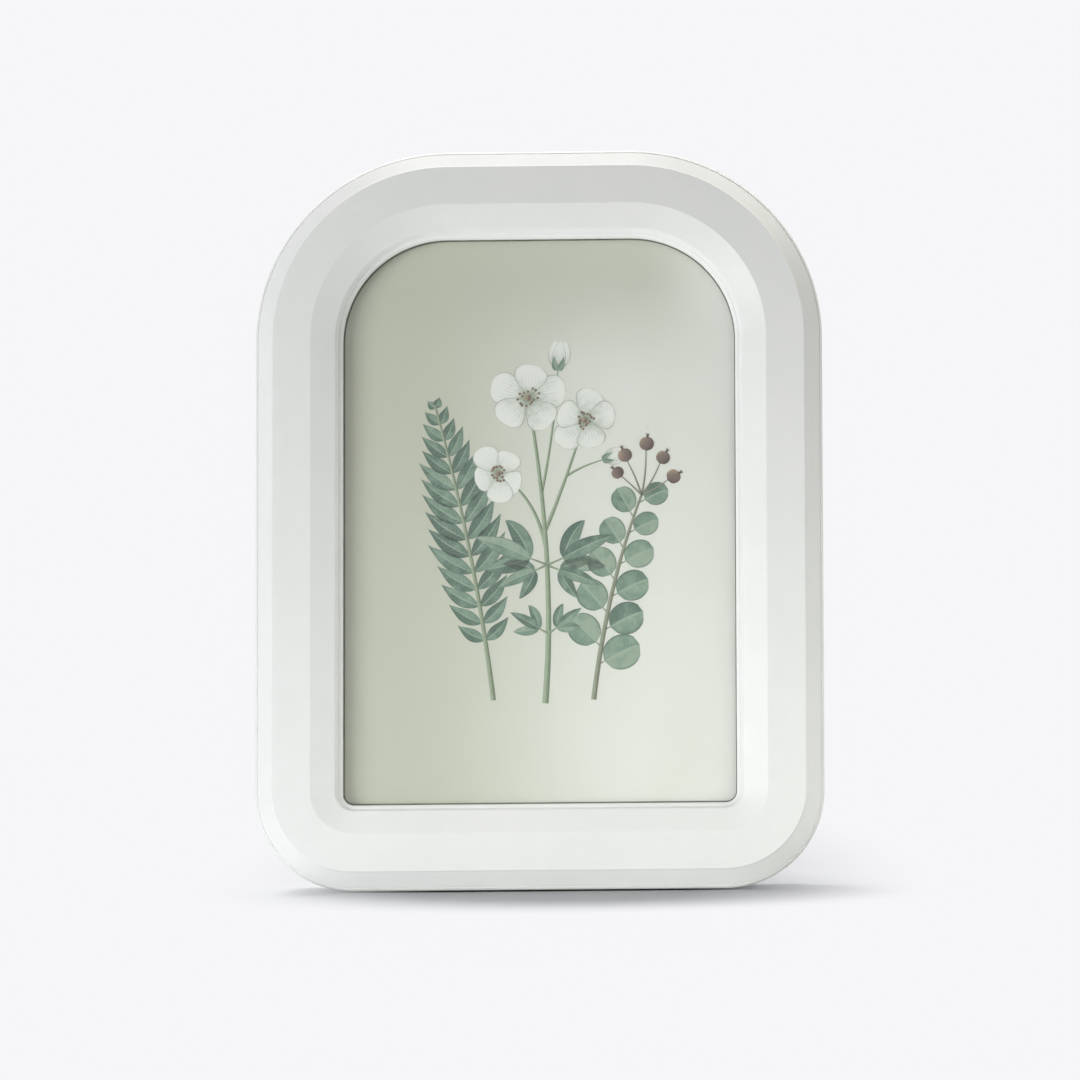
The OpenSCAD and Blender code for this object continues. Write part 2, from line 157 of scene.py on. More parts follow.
class ShaderTree:
    """The node tree of one material or world."""

    def __init__(self, owner: Material | bpy.types.World) -> None:
        """Empty the owner's node tree.

        Args:
            owner: The material or world.
        """
        self.owner = owner
        owner.use_nodes = True
        self.nodes = owner.node_tree.nodes
        self.links = owner.node_tree.links
        self.nodes.clear()

    def node(
        self, kind: str, settings: Mapping[str, object] | None = None,
        sockets: Mapping[str | int, object] | None = None, output: str | int = 0,
    ) -> Wire | None:
        """Add a node.

        Args:
            kind: The node's type.
            settings: Its properties, which are set first.
            sockets: A value or a wire for each socket that is set.
            output: The output to give back.

        Returns:
            That output as a wire, or None for a node with no outputs.
        """
        made = self.nodes.new(kind)
        for name, value in (settings or {}).items():
            setattr(made, name, value)
        for key, value in (sockets or {}).items():
            if isinstance(value, Wire):
                self.links.new(value.socket, made.inputs[key])
            else:
                made.inputs[key].default_value = value
        return Wire(self, made.outputs[output]) if made.outputs else None

    def spot(self, kind: str = "Object") -> Wire:
        """Give the surface's Object or UV coordinates."""
        return self.node("ShaderNodeTexCoord", output=kind)

    def split(self, vector: Wire) -> tuple[Wire, Wire, Wire]:
        """Give a vector's three parts."""
        first = self.node("ShaderNodeSeparateXYZ", None, {"Vector": vector}, "X")
        return first, first.other("Y"), first.other("Z")

    def stretch(self, vector: Wire, scale: Place) -> Wire:
        """Give a vector scaled along each axis."""
        return self.node("ShaderNodeMapping", None, {"Vector": vector, "Scale": scale}, "Vector")

    def noise(self, vector: Wire, grain_mm: float, detail: float = 2.0, rough: float = 0.5) -> Wire:
        """Give a soft noise between 0 and 1 with that grain size."""
        sockets = {"Scale": 1 / (grain_mm * MM), "Detail": detail, "Roughness": rough}
        return self.node("ShaderNodeTexNoise", None, {"Vector": vector, **sockets})

    def specks(self, vector: Wire, spacing_mm: float, size: float) -> Wire:
        """Give round specks, 1 in their middle, of a size in shares of their spacing."""
        far = self.node(
            "ShaderNodeTexVoronoi", None,
            {"Vector": vector, "Scale": 1 / (spacing_mm * MM)}, "Distance",
        )
        return 1 - far.ramp(size * 0.5, size)

    def blend(self, first: Tint | Wire, second: Tint | Wire, share: float | Wire) -> Wire:
        """Mix two colours; share is how much of the second."""
        sockets = {0: share, 6: first, 7: second}
        return self.node("ShaderNodeMix", {"data_type": "RGBA"}, sockets, 2)

    def bump(self, height: Wire, depth_mm: float, strength: float = 1.0) -> Wire:
        """Give the normal of a surface that is raised by up to that depth."""
        sockets = {"Height": height, "Distance": depth_mm * MM, "Strength": strength}
        return self.node("ShaderNodeBump", None, sockets)

    def principled(self, sockets: Mapping[str | int, object]) -> Wire:
        """Give a Principled surface."""
        return self.node("ShaderNodeBsdfPrincipled", None, sockets)

    def seen(self) -> Wire:
        """Give 1 on rays from the camera, straight, by gloss or through glass, and 0 on others.

        Returns:
            That switch.
        """
        path = self.node("ShaderNodeLightPath", output="Is Camera Ray")
        gloss, glass = path.other("Is Glossy Ray"), path.other("Is Transmission Ray")
        return path.math("MAXIMUM", gloss).math("MAXIMUM", glass)

    def finish(self, surface: Wire) -> Material:
        """Lead a surface to the output and give the material back."""
        self.node("ShaderNodeOutputMaterial", None, {"Surface": surface})
        return self.owner


@dataclass(frozen=True)
class Finish:
    """A finish that is made into a material of its name."""

    name: str = "finish"

    def make(self) -> Material:
        """Build the material."""
        tree = ShaderTree(bpy.data.materials.new(self.name))
        return tree.finish(self.surface(tree))

    def surface(self, tree: ShaderTree) -> Wire:
        """Build the surface in the material's tree; each finish has its own."""
        raise NotImplementedError


@dataclass(frozen=True)
class SatinPaint(Finish):
    """Sprayed white paint over smooth wood, a little uneven and faintly peeled like an orange."""

    name: str = "satin_white_paint"
    light: str = "E8E9E8"
    shade: str = "E4E6E4"
    fleck: str = "CDCFC8"
    roughness: float = 0.40
    gloss: float = 0.42
    drift_mm: float = 42.0
    cloud_mm: float = 6.0
    peel_mm: float = 0.9
    grain_mm: float = 0.28
    nib_mm: float = 3.4
    nib_size: float = 0.07
    nib_patch_mm: float = 9.0
    peel_depth_mm: float = 0.008

    def surface(self, tree: ShaderTree) -> Wire:
        """Lay the clouded coat, its peel and a few dust nibs.

        Args:
            tree: The material's tree.

        Returns:
            The surface.
        """
        here = tree.spot()
        drift = tree.noise(here, self.drift_mm, 3.0)
        cloud = tree.noise(here, self.cloud_mm, 3.0)
        peel = tree.noise(here, self.peel_mm, 1.0)
        grain = tree.noise(here, self.grain_mm, 2.0)
        uneven = (drift * 0.65 + cloud * 0.35).ramp(0.36, 0.66)
        coat = tree.blend(tint(self.light), tint(self.shade), uneven)
        patch = tree.noise(here, self.nib_patch_mm).ramp(0.52, 0.62)
        nibs = tree.specks(here, self.nib_mm, self.nib_size) * patch
        return tree.principled({
            "Base Color": tree.blend(coat, tint(self.fleck), nibs * 0.55),
            "Roughness": self.roughness + 0.14 * (cloud - 0.5) + 0.10 * (grain - 0.5),
            "Specular IOR Level": self.gloss,
            "Normal": tree.bump(peel * 0.7 + grain * 0.3 + nibs * 0.6, self.peel_depth_mm),
        })


@dataclass(frozen=True)
class PaneGlass(Finish):
    """Clear float glass with a faint green cast and a few smears."""

    name: str = "float_glass"
    cast: str = "FDFEFD"
    head_on: float = 0.04
    falloff: float = 5.0
    roughness: float = 0.03
    smear_mm: float = 16.0
    smear_haze: float = 0.08

    def surface(self, tree: ShaderTree) -> Wire:
        """Mix what shows through with a gloss that grows towards grazing sight.

        Args:
            tree: The material's tree.

        Returns:
            The surface.
        """
        wiped = tree.stretch(tree.spot(), (1.0, 1.0, 0.35))
        smear = tree.noise(wiped, self.smear_mm, 4.0).ramp(0.52, 0.78)
        through = tree.node("ShaderNodeBsdfTransparent", None, {"Color": tint(self.cast)})
        gloss = tree.node("ShaderNodeBsdfGlossy", None, {
            "Color": tint(WHITE), "Roughness": self.roughness + self.smear_haze * smear,
        })
        grazing = tree.node("ShaderNodeLayerWeight", None, {"Blend": 0.5}, "Facing")
        share = self.head_on + (1 - self.head_on) * grazing ** self.falloff
        return tree.node("ShaderNodeMixShader", None, {0: share, 1: through, 2: gloss})


@dataclass(frozen=True)
class ArtPaper(Finish):
    """Matt wove paper with fine fibres and faint age spots, darkened to its left and its top by
    painted shade.

    Attributes:
        left: Where the painted shade on the left is full and where it has gone, in metres across.
        high: Where the painted shade at the top starts and where it is full, in metres of height.
        high_end: Where the painted shade at the top fades out, in metres across.
        high_share: How strong the painted shade at the top is.
        wander: How far the wash moves the painted shade's borders, in metres.
    """

    name: str = "art_paper"
    sheet: str = "EFEFEB"
    cloud: str = "EBEBE5"
    painted_shade: str = "CBCCBC"
    spot: str = "CFCAB6"
    left: Point = (-0.042, 0.030)
    high: Point = (0.145, 0.185)
    high_end: Point = (0.030, 0.055)
    high_share: float = 0.7
    wander: float = 0.012
    fibre_mm: float = 0.30
    tooth_mm: float = 0.55
    wash_mm: float = 24.0
    spot_mm: float = 7.0
    spot_size: float = 0.10
    spot_patch_mm: float = 13.0
    roughness: float = 0.82
    gloss: float = 0.25
    relief_mm: float = 0.02

    def surface(self, tree: ShaderTree) -> Wire:
        """Lay the pulp, its painted shade to the left and the top, and its age spots.

        Args:
            tree: The material's tree.

        Returns:
            The surface.
        """
        here = tree.spot()
        across, _, height = tree.split(here)
        fibre = tree.noise(tree.stretch(here, (1.0, 1.0, 0.4)), self.fibre_mm, 3.0, 0.65)
        tooth = tree.noise(here, self.tooth_mm, 2.0)
        wash = tree.noise(here, self.wash_mm, 4.0)
        # Painted shade: the sheet darkens towards its left and its top, where the moulding's recess
        # shades the print.
        drift = (wash - 0.5) * self.wander
        left = 1 - (across + drift).ramp(*self.left)
        fading = 1 - (across + drift).ramp(*self.high_end)
        high = (height + drift).ramp(*self.high) * fading
        edge = 1 - (1 - left) * (1 - high * self.high_share)
        mottle = (wash * 0.55 + fibre * 0.45).ramp(0.36, 0.64)
        pulp = tree.blend(tint(self.sheet), tint(self.cloud), mottle)
        shaded_pulp = tree.blend(pulp, tint(self.painted_shade), edge)
        patch = tree.noise(here, self.spot_patch_mm).ramp(0.56, 0.66)
        foxing = tree.specks(here, self.spot_mm, self.spot_size) * patch
        return tree.principled({
            "Base Color": tree.blend(shaded_pulp, tint(self.spot), foxing * 0.5),
            "Roughness": self.roughness + 0.12 * (tooth - 0.5),
            "Specular IOR Level": self.gloss,
            "Normal": tree.bump(fibre * 0.5 + tooth * 0.5, self.relief_mm),
        })


@dataclass(frozen=True)
class DryInk(Finish):
    """What the print's inks share: a dry matt film with the brush's faint relief.

    Attributes:
        roughness: Mean roughness.
        uneven: How far the roughness follows the brush.
        gloss: Specular level.
        relief_mm: Height of the brush marks.
    """

    roughness: float = 0.80
    uneven: float = 0.1
    gloss: float = 0.25
    relief_mm: float = 0.008

    @staticmethod
    def tone(tree: ShaderTree) -> Wire:
        """Give the tone that each drawn shape keeps on its points."""
        return tree.node("ShaderNodeAttribute", {"attribute_name": "tone"}, output="Fac")

    def film(self, tree: ShaderTree, colour: Wire, brush: Wire) -> Wire:
        """Give the dried film of a colour, with the brush's marks."""
        return tree.principled({
            "Base Color": colour, "Roughness": self.roughness + self.uneven * (brush - 0.5),
            "Specular IOR Level": self.gloss, "Normal": tree.bump(brush, self.relief_mm),
        })


@dataclass(frozen=True)
class LeafInk(DryInk):
    """Watercolour green with a pale midrib, fine side veins and a darker rim, along its UV."""

    name: str = "leaf_ink"
    deep: str = "4E6A5C"
    middle: str = "7C9786"
    pale: str = "A7B8A5"
    rim: str = "465E52"
    veins: float = 11.0
    lean: float = 1.5
    pool_mm: float = 3.2
    brush_mm: float = 0.7

    def surface(self, tree: ShaderTree) -> Wire:
        """Wash the leaf, then draw its veins, its midrib and its rim.

        Args:
            tree: The material's tree.

        Returns:
            The surface.
        """
        here = tree.spot()
        u, v, _ = tree.split(tree.spot("UV"))
        tone = self.tone(tree)
        out = abs(u - 0.5) * 2
        pool = tree.noise(here, self.pool_mm, 4.0)
        brush = tree.noise(here, self.brush_mm, 3.0)
        side = (u - 0.5).ramp(-0.06, 0.06)
        stain = (pool - 0.5) * 0.9
        body = (tone * 0.62 + side * 0.24 + stain + (brush - 0.5) * 0.25).ramp(0.0, 1.0)
        wash = tree.blend(tint(self.deep), tint(self.middle), body.ramp(0.0, 0.55))
        lit = tree.blend(wash, tint(self.pale), body.ramp(0.5, 1.0) * 0.8)
        vein = (v * self.veins - out * self.lean).ripple().ramp(0.72, 1.0)
        veined = tree.blend(lit, tint(self.pale), vein * (1 - out) * 0.45)
        rib = 1 - out.ramp(0.03, 0.11)
        ribbed = tree.blend(veined, tint(self.pale), rib * 0.8)
        lined = tree.blend(ribbed, tint(self.rim), out.ramp(0.84, 0.99) * 0.65)
        return self.film(tree, lined, brush)


@dataclass(frozen=True)
class PetalInk(DryInk):
    """Body white with grey-green shading that fans out from the petal's foot, along its UV."""

    name: str = "petal_ink"
    roughness: float = 0.82
    white: str = "F1F2EE"
    shade: str = "B4BBB0"
    foot: str = "94A58C"
    line: str = "8E948A"
    folds: float = 9.0
    brush_mm: float = 1.4

    def surface(self, tree: ShaderTree) -> Wire:
        """Shade the petal, then draw its folds and its rim.

        Args:
            tree: The material's tree.

        Returns:
            The surface.
        """
        here = tree.spot()
        u, v, _ = tree.split(tree.spot("UV"))
        tone = self.tone(tree)
        out = abs(u - 0.5) * 2
        brush = tree.noise(here, self.brush_mm, 3.0)
        fan = (u * self.folds).ripple().ramp(0.55, 1.0)
        gloom = (1 - v) * 0.5 + tone * 0.45
        dusk = (gloom + (brush - 0.5) * 0.5 + out * 0.12).ramp(0.30, 1.0)
        wash = tree.blend(tint(self.white), tint(self.shade), dusk)
        green = tree.blend(wash, tint(self.foot), (1 - v).ramp(0.66, 1.0) * 0.7)
        lined = tree.blend(green, tint(self.line), fan * (1 - v.ramp(0.35, 0.85)) * 0.30)
        border = out.ramp(0.86, 1.0) + v.ramp(0.965, 1.0)
        return self.film(tree, tree.blend(lined, tint(self.line), border * 0.60), brush)


@dataclass(frozen=True)
class StemInk(DryInk):
    """Pale green or brown stalk, rounded by a darker side, along its UV."""

    name: str = "stem_ink"
    light: str = "A9B89D"
    dark: str = "66805F"
    bark: str = "7A665E"
    brush_mm: float = 0.8

    def surface(self, tree: ShaderTree) -> Wire:
        """Round the stalk, and turn it brown by its tone.

        Args:
            tree: The material's tree.

        Returns:
            The surface.
        """
        here = tree.spot()
        u, _, _ = tree.split(tree.spot("UV"))
        tone = self.tone(tree)
        brush = tree.noise(tree.stretch(here, (1.0, 1.0, 0.3)), self.brush_mm, 3.0)
        round_side = (u + (brush - 0.5) * 0.5).ramp(0.25, 0.95)
        green = tree.blend(tint(self.light), tint(self.dark), round_side)
        brown = tree.blend(green, tint(self.bark), tone * (0.55 + 0.45 * round_side))
        return self.film(tree, brown, brush)


@dataclass(frozen=True)
class ShadowLineInk(DryInk):
    """Olive grey painted shadow of the shaded gap at the window's edge, a little uneven along its
    length.
    """

    name: str = "painted_shadow_line_ink"
    dark: str = "5A5C4E"
    light: str = "7A7C6C"
    brush_mm: float = 0.8
    drift_mm: float = 14.0

    def surface(self, tree: ShaderTree) -> Wire:
        """Lay the uneven painted shadow line.

        Args:
            tree: The material's tree.

        Returns:
            The surface.
        """
        here = tree.spot()
        brush = tree.noise(here, self.brush_mm, 3.0)
        drift = tree.noise(here, self.drift_mm, 2.0)
        uneven_shade = (brush * 0.4 + drift * 0.6).ramp(0.35, 0.65)
        return self.film(tree, tree.blend(tint(self.dark), tint(self.light), uneven_shade), brush)


@dataclass(frozen=True)
class SeedInk(DryInk):
    """Brown and ochre for capsules and stamens, lit from one side, along its UV."""

    name: str = "seed_ink"
    dark: str = "55423A"
    middle: str = "7A665E"
    light: str = "B39C82"
    brush_mm: float = 0.6

    def surface(self, tree: ShaderTree) -> Wire:
        """Lay the brown and light it from one side.

        Args:
            tree: The material's tree.

        Returns:
            The surface.
        """
        here = tree.spot()
        u, v, _ = tree.split(tree.spot("UV"))
        tone = self.tone(tree)
        brush = tree.noise(here, self.brush_mm, 3.0)
        glow = (1 - u) * 0.6 + v * 0.35 + (brush - 0.5) * 0.5 + (tone - 0.5) * 0.5
        body = tree.blend(tint(self.dark), tint(self.middle), glow.ramp(0.10, 0.50))
        return self.film(tree, tree.blend(body, tint(self.light), glow.ramp(0.5, 0.95)), brush)


@dataclass(frozen=True)
class Hardboard(Finish):
    """Pressed brown fibre board with matted fibres, dark flecks and a rubbed sheen."""

    name: str = "brown_hardboard"
    light: str = "9C7A58"
    dark: str = "74553A"
    fleck: str = "4B3626"
    straw: str = "B99A72"
    wash_mm: float = 30.0
    mat_mm: float = 1.1
    cross_mm: float = 0.9
    fleck_mm: float = 2.1
    fleck_size: float = 0.20
    straw_mm: float = 2.6
    straw_size: float = 0.13
    roughness: float = 0.62
    gloss: float = 0.35
    felt_depth_mm: float = 0.09

    def surface(self, tree: ShaderTree) -> Wire:
        """Felt the fibres both ways, then strew flecks and straws over them.

        Args:
            tree: The material's tree.

        Returns:
            The surface.
        """
        here = tree.spot()
        wash = tree.noise(here, self.wash_mm, 4.0)
        mat = tree.noise(tree.stretch(here, (0.45, 1.0, 1.0)), self.mat_mm, 4.0, 0.62)
        cross = tree.noise(tree.stretch(here, (1.0, 1.0, 0.40)), self.cross_mm, 4.0, 0.62)
        felt = mat * 0.5 + cross * 0.5
        mottle = (felt * 0.75 + wash * 0.25).ramp(0.34, 0.64)
        pulp = tree.blend(tint(self.light), tint(self.dark), mottle)
        flecks = tree.specks(here, self.fleck_mm, self.fleck_size) * 0.65 * cross.ramp(0.4, 0.6)
        flecked = tree.blend(pulp, tint(self.fleck), flecks)
        strewn = tree.stretch(here, (0.3, 1.0, 1.0))
        straws = tree.specks(strewn, self.straw_mm, self.straw_size)
        return tree.principled({
            "Base Color": tree.blend(flecked, tint(self.straw), straws * 0.55),
            "Roughness": self.roughness + 0.22 * (felt - 0.5),
            "Specular IOR Level": self.gloss,
            "Normal": tree.bump(felt, self.felt_depth_mm, 0.7),
        })


@dataclass(frozen=True)
class PlatedSteel(Finish):
    """Pressed steel with dull nickel plating, fine rolling lines, scuffs and darker spots."""

    name: str = "nickel_plated_steel"
    bright: str = "C9C7C1"
    dull: str = "B3B0A9"
    spot: str = "77736B"
    roughness: float = 0.30
    rolled_mm: float = 0.12
    bloom_mm: float = 5.0
    scuff_mm: float = 0.5
    pit_mm: float = 1.9
    pit_size: float = 0.10
    relief_mm: float = 0.012

    def surface(self, tree: ShaderTree) -> Wire:
        """Plate the sheet, and mark it with rolling lines, scuffs and pits.

        Args:
            tree: The material's tree.

        Returns:
            The surface.
        """
        here = tree.spot()
        rolled = tree.noise(tree.stretch(here, (0.04, 1.0, 1.0)), self.rolled_mm, 2.0)
        bloom = tree.noise(here, self.bloom_mm, 4.0)
        rubbed = tree.stretch(here, (1.0, 1.0, 0.12))
        scuff = tree.noise(rubbed, self.scuff_mm, 4.0).ramp(0.60, 0.72)
        pits = tree.specks(here, self.pit_mm, self.pit_size)
        plate = tree.blend(tint(self.bright), tint(self.dull), bloom.ramp(0.30, 0.75))
        haze = self.roughness + 0.07 * (bloom - 0.5)
        return tree.principled({
            "Base Color": tree.blend(plate, tint(self.spot), pits * 0.6),
            "Metallic": 1.0,
            "Roughness": haze + 0.14 * scuff + 0.08 * (rolled - 0.5),
            "Normal": tree.bump(rolled * 0.6 - pits * 0.8 - scuff * 0.3, self.relief_mm),
        })


@dataclass(frozen=True)
class FoamPad(Finish):
    """Soft off-white foam with fine open cells."""

    name: str = "foam_pad"
    light: str = "D9D8D2"
    dark: str = "B5B4AC"
    cell_mm: float = 0.32
    cell_size: float = 0.62
    soil_mm: float = 3.5
    roughness: float = 0.88
    gloss: float = 0.25
    cell_depth_mm: float = 0.06

    def surface(self, tree: ShaderTree) -> Wire:
        """Open the cells, darken them with painted shade in their hollows, and soil them a little.

        Args:
            tree: The material's tree.

        Returns:
            The surface.
        """
        here = tree.spot()
        cells = tree.specks(here, self.cell_mm, self.cell_size)
        soil = tree.noise(here, self.soil_mm, 3.0)
        # The cells are darkened by painted shade in their hollows; the soil is dirt.
        gloom = cells * 0.45 + soil.ramp(0.45, 0.75) * 0.4
        return tree.principled({
            "Base Color": tree.blend(tint(self.light), tint(self.dark), gloom),
            "Roughness": self.roughness + 0.1 * (soil - 0.5),
            "Specular IOR Level": self.gloss,
            "Normal": tree.bump(1 - cells, self.cell_depth_mm),
        })


@dataclass(frozen=True)
class GreyCard(Finish):
    """Raw grey card with recycled flecks."""

    name: str = "grey_card"
    light: str = "A09C95"
    dark: str = "86827B"
    fleck: str = "5E5A55"
    pulp_mm: float = 1.4
    fleck_mm: float = 1.7
    fleck_size: float = 0.16
    roughness: float = 0.86
    gloss: float = 0.25
    relief_mm: float = 0.04

    def surface(self, tree: ShaderTree) -> Wire:
        """Press the pulp and strew flecks over it.

        Args:
            tree: The material's tree.

        Returns:
            The surface.
        """
        here = tree.spot()
        pulp = tree.noise(here, self.pulp_mm, 4.0, 0.6)
        flecks = tree.specks(here, self.fleck_mm, self.fleck_size)
        card = tree.blend(tint(self.light), tint(self.dark), pulp.ramp(0.35, 0.65))
        return tree.principled({
            "Base Color": tree.blend(card, tint(self.fleck), flecks * 0.6),
            "Roughness": self.roughness + 0.1 * (pulp - 0.5),
            "Specular IOR Level": self.gloss,
            "Normal": tree.bump(pulp, self.relief_mm),
        })


@dataclass(frozen=True)
class StudioPaper(Finish):
    """Pale matt sweep; the camera sees it lifted to white away from the frame's shadow.

    Attributes:
        near_mm: Distance from the frame's foot up to which it isn't lifted.
        far_mm: Distance from which it is all white.
        edge_mm: The middle of the frame's foot, across and in depth.
        ahead_rate: How much faster distance counts in front of the foot.
        behind_rate: How much slower it counts behind the foot.
    """

    name: str = "studio_paper"
    sheet: str = "E8EAED"
    tooth: str = "E4E6E9"
    white: str = "F6F6F8"
    near_mm: float = 34.0
    far_mm: float = 112.0
    edge_mm: Point = (6.0, -45.0)
    ahead_rate: float = 2.0
    behind_rate: float = 0.4
    grain_mm: float = 1.2

    def surface(self, tree: ShaderTree) -> Wire:
        """Lay the paper and lift it for the camera.

        Args:
            tree: The material's tree.

        Returns:
            The surface.
        """
        here = tree.spot()
        across, depth, _ = tree.split(here)
        side = across - self.edge_mm[0] * MM
        ahead = self.edge_mm[1] * MM - depth
        reach = (ahead * self.ahead_rate).math("MAXIMUM", ahead * -self.behind_rate)
        away = (side * side + reach * reach) ** 0.5
        grain = tree.noise(here, self.grain_mm, 2.0).ramp(0.3, 0.7)
        sheet = tree.node("ShaderNodeBsdfDiffuse", None, {
            "Color": tree.blend(tint(self.sheet), tint(self.tooth), grain),
        })
        white = tree.node("ShaderNodeEmission", None, {"Color": tint(self.white), "Strength": 1.0})
        lift = tree.seen() * away.ramp(self.near_mm * MM, self.far_mm * MM)
        return tree.node("ShaderNodeMixShader", None, {0: lift, 1: sheet, 2: white})


@dataclass(frozen=True)
class Stance:
    """How the upright frame stands: leaned back on its open strut.

    Attributes:
        joint: The strut's hinge in the row frame, in metres.
        lean: How far the frame leans back, in degrees.
        strut_open: How far the strut stands open, in degrees.
        axis_y: Depth of the hinge axis behind the face.
        axis_z: Height of the hinge axis above the bottom edge.
    """

    joint: Place
    lean: float = 15.0
    strut_open: float = 27.0
    axis_y: float = 20.5
    axis_z: float = 150.0

    def axis(self) -> Vector:
        """Give a point on the hinge axis, upright, in millimetres."""
        return Vector((0.0, self.axis_y, self.axis_z))

    def leaned(self) -> Matrix:
        """Give the move from upright to standing, in millimetres."""
        turn = Matrix.Rotation(-math.radians(self.lean), 4, "X")
        return Matrix.Translation(Vector(self.joint) / MM - turn @ self.axis()) @ turn

    def world(self) -> Matrix:
        """Give the move from upright millimetres to standing metres."""
        return Matrix.Scale(MM, 4) @ self.leaned()

    def swing(self) -> Matrix:
        """Give the move of the folded strut to its open place, upright."""
        turn = Matrix.Rotation(math.radians(self.strut_open), 4, "X")
        return Matrix.Translation(self.axis()) @ turn @ Matrix.Translation(-self.axis())

    def on_rear(self, x: float, y: float, z: float, turn: float = 0.0) -> Matrix:
        """Give the move that lays a piece with its +Z to the back, turned by degrees."""
        laid = Matrix.Translation((x, y, z)) @ Matrix.Rotation(-QUARTER, 4, "X")
        return laid @ Matrix.Rotation(math.radians(turn), 4, "Z")


class Pick(Enum):
    """What edit mode selects."""

    POINTS = (True, False, False)
    EDGES = (False, True, False)
    FACES = (False, False, True)


class Bench:
    """Hand tools for the piece that is being modelled, in millimetres."""

    @staticmethod
    def clear() -> None:
        """Leave edit mode and deselect everything."""
        if bpy.context.object and bpy.context.object.mode != "OBJECT":
            bpy.ops.object.mode_set(mode="OBJECT")
        bpy.ops.object.select_all(action="DESELECT")

    @staticmethod
    def take(thing: Thing) -> None:
        """Select one object alone and make it active.

        Args:
            thing: The object.
        """
        Bench.clear()
        thing.select_set(True)
        bpy.context.view_layer.objects.active = thing

    @staticmethod
    @contextmanager
    def editing(thing: Thing, pick: Pick, everything: bool = False) -> Iterator[None]:
        """Work on an object in edit mode.

        Args:
            thing: The object.
            pick: What is selected there.
            everything: Whether all of it is selected, and not only what was picked.

        Returns:
            A context that leaves edit mode at its end.
        """
        Bench.take(thing)
        bpy.context.tool_settings.mesh_select_mode = pick.value
        bpy.ops.object.mode_set(mode="EDIT")
        if everything:
            bpy.ops.mesh.select_all(action="SELECT")
        yield
        bpy.ops.object.mode_set(mode="OBJECT")

    @staticmethod
    def unpick(mesh: bpy.types.Mesh) -> None:
        """Deselect all points, edges and faces of a mesh."""
        for group in (mesh.vertices, mesh.edges, mesh.polygons):
            group.foreach_set("select", [False] * len(group))

    @staticmethod
    def pick_edges(thing: Thing, test: Test) -> None:
        """Select the edges whose two ends pass a test.

        Args:
            thing: The object.
            test: The test of an edge's two ends.
        """
        mesh = thing.data
        Bench.unpick(mesh)
        for edge in mesh.edges:
            edge.select = test(*(mesh.vertices[i].co for i in edge.vertices))

    @staticmethod
    def pick_faces(thing: Thing, test: Test) -> None:
        """Select the faces whose middle and normal pass a test.

        Args:
            thing: The object.
            test: The test of a face's middle and normal.
        """
        mesh = thing.data
        Bench.unpick(mesh)
        for face in mesh.polygons:
            face.select = test(face.center, face.normal)

    @staticmethod
    def block(size: Sequence[float], middle: Sequence[float]) -> Thing:
        """Add a cube.

        Args:
            size: Its three sides.
            middle: Its middle.

        Returns:
            The block.
        """
        Bench.clear()
        bpy.ops.mesh.primitive_cube_add(size=1, location=middle, scale=size)
        bpy.ops.object.transform_apply(location=True, rotation=True, scale=True)
        return bpy.context.object

    @staticmethod
    def plate(
        size: Sequence[float], middle: Sequence[float], corner_r: float, segments: int = 6,
    ) -> Thing:
        """Add a flat block across Y and round its four corners.

        Args:
            size: Its three sides.
            middle: Its middle.
            corner_r: Radius of its corners.
            segments: How many flats make a corner round.

        Returns:
            The plate.
        """
        made = Bench.block(size, middle)
        Bench.bevel(made, lambda a, b: abs(a.y - b.y) > size[1] / 2, corner_r, segments)
        return made

    @staticmethod
    def drum(radius: float, middle: Sequence[float], length: float, sides: int = 48) -> Thing:
        """Add a cylinder along Y.

        Args:
            radius: Its radius.
            middle: Its middle.
            length: Its length.
            sides: How many flats make it round.

        Returns:
            The drum.
        """
        Bench.clear()
        bpy.ops.mesh.primitive_cylinder_add(
            vertices=sides, radius=radius, depth=length, location=middle, rotation=(QUARTER, 0, 0),
        )
        bpy.ops.object.transform_apply(location=True, rotation=True, scale=True)
        return bpy.context.object

    @staticmethod
    def ring(points: Sequence[Sequence[float]], filled: bool = False) -> Thing:
        """Add a circle and move its points to a closed outline.

        Args:
            points: The outline's points.
            filled: Whether it gets a face.

        Returns:
            The outline.
        """
        Bench.clear()
        fill = "NGON" if filled else "NOTHING"
        bpy.ops.mesh.primitive_circle_add(vertices=len(points), fill_type=fill)
        made = bpy.context.object
        for vertex, point in zip(made.data.vertices, points):
            vertex.co = point
        return made

    @staticmethod
    def lathe(profile: Sequence[Point], steps: int = 40) -> Thing:
        """Spin an outline about the Z axis to a solid.

        Args:
            profile: Points of (radius, height), of which the first and the last are on the axis.
            steps: How many steps make it round.

        Returns:
            The solid.
        """
        made = Bench.ring([(radius, 0.0, height) for radius, height in profile])
        with Bench.editing(made, Pick.EDGES, everything=True):
            bpy.ops.mesh.spin(steps=steps, angle=math.tau, center=(0, 0, 0), axis=(0, 0, 1))
        Bench.heal(made)
        return made

    @staticmethod
    def heal(thing: Thing, gap: float = 0.002) -> None:
        """Merge doubles, drop faces with no area and turn all faces outwards.

        Args:
            thing: The object.
            gap: How far apart doubles may be.
        """
        with Bench.editing(thing, Pick.POINTS, everything=True):
            bpy.ops.mesh.remove_doubles(threshold=gap)
            bpy.ops.mesh.dissolve_degenerate(threshold=gap / 2)
            bpy.ops.mesh.select_all(action="SELECT")
            bpy.ops.mesh.normals_make_consistent(inside=False)

    @staticmethod
    def bevel(thing: Thing, test: Test, width: float, segments: int) -> None:
        """Round the edges whose two ends pass a test.

        Args:
            thing: The object.
            test: The test of an edge's two ends.
            width: Width of the rounding.
            segments: How many flats make it round.
        """
        Bench.pick_edges(thing, test)
        with Bench.editing(thing, Pick.EDGES):
            bpy.ops.mesh.bevel(offset=width, segments=segments, affect="EDGES")

